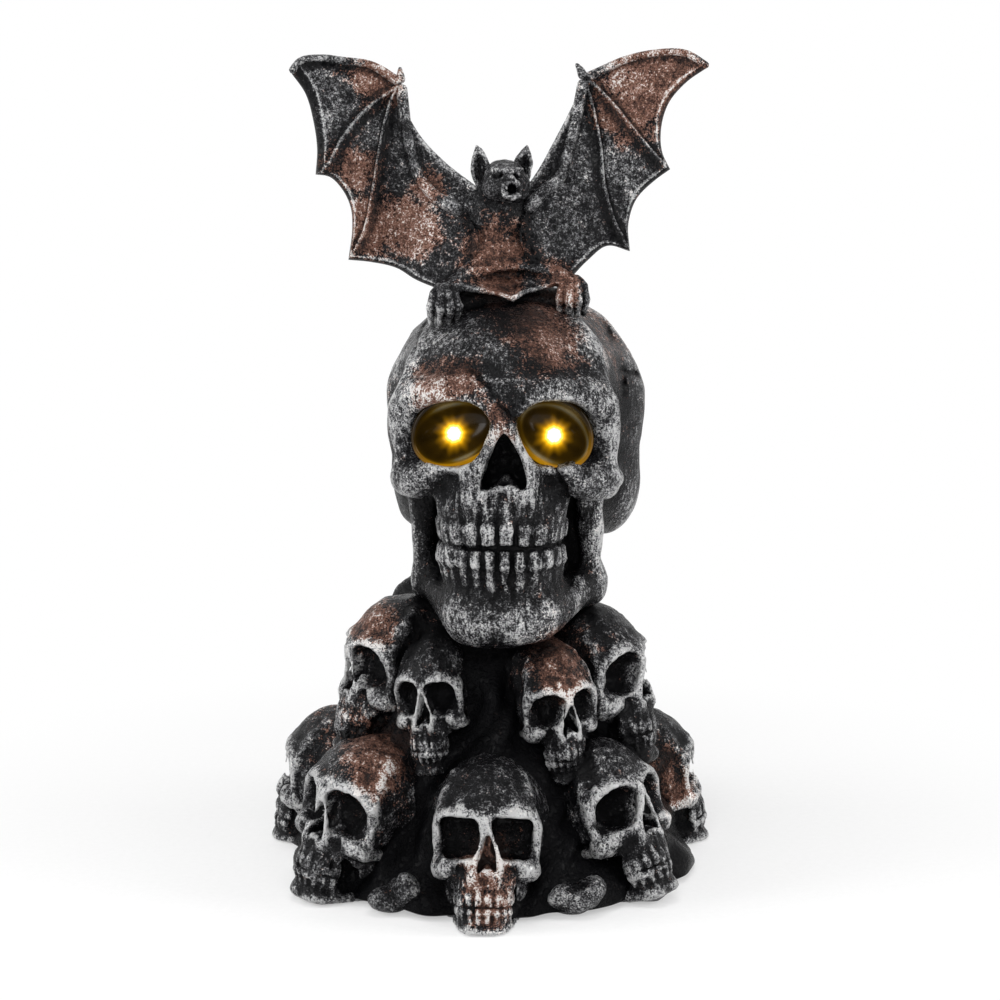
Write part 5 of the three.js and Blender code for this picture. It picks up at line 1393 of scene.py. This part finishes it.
# Touches of the brush, listed one by one: a middle, a radius, and how much silver they take away (or add,
# below 0)
TOUCHES = [
    (2, -62, 119, 14, -0.4), (4, -62, 169, 12, -0.3), (-18, -60, 213, 13, 0.36), (27, -62, 213, 13, 0.32),
    (4, -64, 207, 12, 0.6), (-7, -62, 194, 8, 0.25), (17, -62, 194, 8, 0.25), (63, -4, 197, 26, 0.3),
    (-58, -72, 55, 16, -0.2), (-30, -15, 225, 24, -0.3), (-52, 0, 200, 20, -0.2),
    (-30, -52, 176, 10, 0.2), (34, -56, 176, 13, 0.28), (40, -20, 137, 16, 0.15), (17, -62, 180, 9, 0.25),
    (-5, -62, 178, 9, 0.22), (24, -50, 236, 14, -0.2),
]  # fmt: skip


def touched(points):
    """The sum of the touches, each falling off with the square of the distance, as a bell does."""
    amount = np.zeros(len(points))
    for x, y, z, radius, change in TOUCHES:
        away = (points[:, 0] - x) ** 2 + (points[:, 1] - y) ** 2 + (points[:, 2] - z) ** 2
        amount += change * np.exp(-away / radius**2)
    return amount


def points_of(piece):
    """A piece's points in millimetres."""
    flat = np.empty(len(piece.data.vertices) * 3, np.float32)
    piece.data.vertices.foreach_get("co", flat)
    return flat.reshape(-1, 3) / MM


resin_pieces = [o for o in bpy.data.objects if o.type == "MESH" and "ridge" in o.data.attributes]
for piece in resin_pieces:
    places = points_of(piece)
    hollow = np.zeros(len(places), np.float32)
    if "crevice" in piece.data.attributes:
        piece.data.attributes["crevice"].data.foreach_get("value", hollow)
    # The painted shade between parts and in the gaps of the teeth, with the touches added to it
    keep(piece, "crevice", hollow + touched(places))
    keep(piece, "warm", warmth(places))
print("pieces with paint", len(resin_pieces))

# %% Resin materials
def surface(name, **values):
    """A material with one Principled shader, with its plain values on its own sockets."""
    material = bpy.data.materials.new(name)
    material.use_nodes = True
    shader = material.node_tree.nodes["Principled BSDF"]
    for label, value in values.items():
        shader.inputs[label.replace("_", " ")].default_value = value
    return material, material.node_tree, shader


def bump(tree, shader, height, depth, strength=0.5):
    """Bump of a depth in millimetres on a shader."""
    node = wire(tree, "Bump", {"Height": height, "Distance": depth * MM, "Strength": strength})
    tree.links.new(node.outputs[0], shader.inputs["Normal"])


def place_of(tree):
    """The object's own coordinates, which are the whole model's, because no piece is moved or turned."""
    return wire(tree, "TexCoord").outputs["Object"]


def resin(name, cover, speck, stroke, depth, shine=0.12, ridge_share=None):
    """Dry-brushed lacquer with its own cover and grain, and less of the ridge where a share is given."""
    material, tree, shader = surface(name, Specular_IOR_Level=shine)
    group = wire(tree, "Group", node_tree=dry_brush)
    tree.links.new(place_of(tree), group.inputs["Place"])
    for label in ("ridge", "swell", "crevice", "warm"):
        value = wire(tree, "Attribute", attribute_name=label).outputs["Fac"]
        if label == "ridge" and ridge_share:
            value = total(tree, 0, (value, ridge_share))
        tree.links.new(value, group.inputs[label.capitalize()])
    for label, value in (("Cover", cover), ("Speck", speck), ("Stroke", stroke)):
        group.inputs[label].default_value = value
    tree.links.new(group.outputs["Colour"], shader.inputs["Base Color"])
    tree.links.new(group.outputs["Metal"], shader.inputs["Metallic"])
    tree.links.new(group.outputs["Gloss"], shader.inputs["Roughness"])
    bump(tree, shader, group.outputs["Height"], depth, strength=0.8)
    return material


# By the first word of a piece's name: cover, speck, stroke and depth of the bump
finishes = {
    "large": resin("resin_of_the_skull", 0.22, 1.0, 1.1, 0.4),
    "small": resin("resin_of_the_small_skulls", 0.07, 0.9, 0.9, 0.4, ridge_share=0.65),
    "heap": resin("resin_of_the_heap", -0.95, 0.6, 0.8, 0.4, 0.06),
    "bone": resin("resin_of_the_knobs", -0.5, 0.9, 0.8, 0.4),
    "bat": resin("resin_of_the_bat", 0.27, 0.8, 0.4, 0.25),
    "wing": resin("resin_of_the_wings", 0.42, 0.9, 0.25, 0.25),
}
for piece in resin_pieces:
    words = piece.name.split("_")
    piece.data.materials.append(finishes.get(words[0], finishes["wing"]))
print("resin finishes", list(finishes))

# %% [markdown]
# ### Moulded and small parts
# Plastic, rubber and plate have a fine grain and wear that differ only in size and strength, so one group
# serves them all. It mixes two close colours by a cloudy noise and gives a height for the bump.

# %% Moulded group and the small parts' materials
inputs = {"Place": "Vector", "Clean": "Color", "Worn": "Color", "Size": "Float"}
outputs = {"Colour": "Color", "Cloud": "Float", "Height": "Float"}
moulded, given, made = new_group("moulded_grain", inputs, outputs)
noise = {"Vector": given["Place"], "Scale": given["Size"], "Detail": 3.0}
fine = wire(moulded, "TexNoise", noise).outputs["Fac"]
cloud = grains(moulded, given["Place"], 12.0, 4.0)
worn = between(moulded, total(moulded, 0, (cloud, 0.8), (fine, 0.4)), 0.5, 0.85)
moulded.links.new(blend_colours(moulded, worn, given["Clean"], given["Worn"]), made["Colour"])
moulded.links.new(worn, made["Cloud"])
moulded.links.new(fine, made["Height"])


def moulding(name, clean, worn_colour, size, depth, rough, **values):
    """A material with grains of a size in millimetres, rougher where it is worn."""
    material, tree, shader = surface(name, **values)
    group = wire(tree, "Group", node_tree=moulded)
    tree.links.new(place_of(tree), group.inputs["Place"])
    group.inputs["Clean"].default_value, group.inputs["Worn"].default_value = (*clean, 1), (*worn_colour, 1)
    group.inputs["Size"].default_value = 1000 / size
    tree.links.new(group.outputs["Colour"], shader.inputs["Base Color"])
    tree.links.new(total(tree, rough, (group.outputs["Cloud"], 0.15)), shader.inputs["Roughness"])
    bump(tree, shader, group.outputs["Height"], depth)
    return material, tree, shader, group


black, scuffed = (0.012, 0.012, 0.013), (0.035, 0.035, 0.037)
plastic = moulding("black_moulding", black, scuffed, 0.5, 0.12, 0.42)[0]
rubber = moulding("rubber", (0.014, 0.014, 0.014), (0.05, 0.048, 0.046), 0.8, 0.15, 0.75)[0]
nickel = moulding("nickel_plate", (0.62, 0.61, 0.58), (0.42, 0.41, 0.38), 0.35, 0.03, 0.2, Metallic=1.0)[0]
red = moulding("red_sleeve", (0.4, 0.015, 0.012), (0.28, 0.02, 0.018), 0.6, 0.05, 0.32)[0]
black_wire = moulding("black_sleeve", black, scuffed, 0.6, 0.05, 0.32)[0]
print("small parts' materials made")

# %% [markdown]
# ### Board, cells, bowls and lamps
# The board's copper runs are under green lacquer, as paler lines. A cell's sleeve is printed with plain
# bands. The lamps shine, and the bowls give out painted light, in colours that run from deep amber to white.

# %% The rest of the materials
dark_green, green, pale_green = (0.012, 0.09, 0.03), (0.02, 0.12, 0.045), (0.03, 0.2, 0.07, 1)
board, tree, shader, group = moulding("board_lacquer", dark_green, green, 1.5, 0.05, 0.3)
bricks = {"Vector": place_of(tree), "Scale": 260.0, "Mortar Size": 0.09, "Mortar Smooth": 0.3}
lines = between(tree, wire(tree, "TexBrick", bricks).outputs["Fac"], 0.3, 0.7)
runs = blend_colours(tree, lines, group.outputs["Colour"], pale_green)
tree.links.new(runs, shader.inputs["Base Color"])

navy, blue = (0.02, 0.035, 0.07), (0.03, 0.045, 0.085)
cell, tree, shader, group = moulding("cell_sleeve", navy, blue, 2.0, 0.03, 0.25, Metallic=0.3)
along = wire(tree, "SeparateXYZ", {0: place_of(tree)}).outputs["Y"]
ends = maths(tree, "ABSOLUTE", along)
band = between(tree, ends, 0.0125, 0.0129)
jacket = blend_colours(tree, band, group.outputs["Colour"], (0.55, 0.3, 0.12, 1))
bare = between(tree, ends, 0.0238, 0.024)
tree.links.new(blend_colours(tree, bare, jacket, (0.6, 0.6, 0.58, 1)), shader.inputs["Base Color"])
tree.links.new(between(tree, bare, 0.3, 0.7, 0.3, 1.0), shader.inputs["Metallic"])

# The bowl's emission is painted light: the halo, glare and rim band kept at its points
amber, tree, shader = surface(
    "smoky_amber", Specular_IOR_Level=0.1, Coat_Weight=0.04, Coat_Roughness=0.1, Emission_Strength=2.2
)
glow = wire(tree, "Attribute", attribute_name="glow").outputs["Fac"]
smoke = grains(tree, place_of(tree), 9.0, 3.0)
PAINTED_GLOW = [(0, 0.0006, 0.0004, 0.0001), (0.06, 0.012, 0.0062, 0.0003), (0.2, 0.16, 0.075, 0.001)]
PAINTED_GLOW += [(0.45, 0.6, 0.3, 0.005), (0.75, 1, 0.7, 0.12), (1, 1, 0.95, 0.7)]
SMOKE = [(0.3, 0.003, 0.0018, 0.0006), (0.7, 0.009, 0.005, 0.0015)]
tree.links.new(ramp(tree, glow, PAINTED_GLOW), shader.inputs["Emission Color"])
tree.links.new(ramp(tree, smoke, SMOKE), shader.inputs["Base Color"])
tree.links.new(between(tree, smoke, 0.3, 0.7, 0.14, 0.22), shader.inputs["Roughness"])

lamp, tree, shader = surface("lit_lamp", Roughness=0.15, Emission_Strength=3.0)
hot = grains(tree, place_of(tree), 1.5)
tree.links.new(ramp(tree, hot, [(0.3, 1, 0.8, 0.35), (0.7, 1, 0.9, 0.6)]), shader.inputs["Emission Color"])
tree.links.new(ramp(tree, hot, [(0.3, 0.9, 0.6, 0.15), (0.7, 1, 0.7, 0.25)]), shader.inputs["Base Color"])

BY_SLOT = {
    "black_plastic": plastic, "black_rubber": rubber, "nickel": nickel, "red_sleeve": red,
    "black_sleeve": black_wire, "board_green": board, "cell_sleeve": cell, "amber_lens": amber,
    "amber_lamp": lamp, "antiqued_resin": finishes["large"],
}  # fmt: skip
node_slots = {row["node"]: row["material_slot"] for row in frame["record"]["subparts"]}
for node, piece in frame["nodes"].items():
    for place in piece.material_slots:
        place.material = BY_SLOT[node_slots[node]]
for name in ("left_eye_bowl", "right_eye_bowl"):
    bpy.data.objects[name].data.materials.append(amber)
for name in SPRINGS:
    bpy.data.objects[name].data.materials.append(nickel)
print("materials", len(bpy.data.materials))

# %% [markdown]
# ## Floor, surroundings and lamps
# The piece stands on a white floor before a white backdrop, in a studio whose front is dim: that is what
# makes gloss black look black. Two tall softboxes stand at the sides, a small one in front and one above.
# From below the floor is clear, so that the tray and the battery door can be looked at.

# %% Studio
white, tree, shader = surface("white_floor", Roughness=0.9, Specular_IOR_Level=0.1)
where = place_of(tree)
away = wire(tree, "VectorMath", {0: where}, operation="LENGTH").outputs["Value"]
paper = ramp(tree, grains(tree, where, 3.0), [(0.3, 0.93, 0.93, 0.93), (0.7, 0.97, 0.97, 0.97)])
tree.links.new(paper, shader.inputs["Base Color"])
seen = wire(tree, "LightPath").outputs["Is Camera Ray"]
far_off = maths(tree, "MULTIPLY", between(tree, away, 0.12, 0.36, 0.45), seen)
plain = wire(tree, "Emission", {"Color": (1, 1, 1, 1), "Strength": 1.0})
mixed = wire(tree, "MixShader", {0: far_off, 1: shader.outputs[0], 2: plain.outputs[0]})
below = wire(tree, "NewGeometry").outputs["Backfacing"]
clear = wire(tree, "BsdfTransparent")
mixed = wire(tree, "MixShader", {0: below, 1: mixed.outputs[0], 2: clear.outputs[0]})
tree.links.new(mixed.outputs[0], tree.nodes["Material Output"].inputs["Surface"])
# The floor is a disc of rings whose radii are in millimetres, with a fan round its middle
FLOOR_RADII, FLOOR_SIDES = (5, 60, 200, 3000), 96
turns = np.linspace(0, 2 * np.pi, FLOOR_SIDES, endpoint=False)
floor_points = [(r * math.cos(a), r * math.sin(a), 0.0) for r in FLOOR_RADII for a in turns] + [(0, 0, 0)]
floor_faces = grid_faces(len(FLOOR_RADII), FLOOR_SIDES, False, True)[:, ::-1]
here = np.arange(FLOOR_SIDES)
after = (here + 1) % FLOOR_SIDES
hub = np.stack([0 * here + len(floor_points) - 1, here, after, after], 1)
floor = mesh_object("floor", floor_points, np.concatenate([floor_faces, hub]), False)
floor.data.materials.append(white)

# How bright the room is in front, behind, and for what it lights without being mirrored
DIM, BRIGHT, FILL = 0.05, 1.0, 0.32
world = bpy.data.worlds.new("studio")
bpy.context.scene.world = world
world.use_nodes = True
tree = world.node_tree
background = tree.nodes["Background"]
towards = wire(tree, "SeparateXYZ", {0: wire(tree, "TexCoord").outputs["Generated"]}).outputs["Y"]
room = between(tree, towards, -0.3, 0.6, DIM, BRIGHT)
paths = wire(tree, "LightPath").outputs
direct = maths(tree, "MAXIMUM", paths["Is Camera Ray"], paths["Is Transmission Ray"])
diffuse = wire(tree, "Mix", {0: paths["Is Glossy Ray"], 2: FILL, 3: room}).outputs[0]
strength = wire(tree, "Mix", {0: direct, 2: diffuse, 3: BRIGHT}).outputs[0]
background.inputs["Color"].default_value = (1, 1, 1, 1)
tree.links.new(strength, background.inputs["Strength"])


LOOK_AT = Vector((0, 0, 0.2))


def softbox(name, place, size, power):
    """A rectangular lamp that faces the middle of the piece; place and size are in metres."""
    light = bpy.data.lights.new(name, "AREA")
    light.shape, light.size, light.size_y, light.energy = "RECTANGLE", *size, power
    lamp_object = bpy.data.objects.new(name, light)
    bpy.context.collection.objects.link(lamp_object)
    lamp_object.location = place
    lamp_object.rotation_euler = (LOOK_AT - Vector(place)).to_track_quat("-Z", "Y").to_euler()


softbox("left_softbox", (-0.85, -0.25, 0.45), (0.35, 0.8), 5.5)
softbox("right_softbox", (0.85, -0.2, 0.4), (0.35, 0.8), 5.2)
softbox("front_softbox", (-0.12, -1.15, 0.8), (0.5, 0.35), 5)
softbox("top_softbox", (0.0, -0.25, 1.05), (0.5, 0.4), 3)
bpy.context.scene.view_settings.view_transform = "Standard"
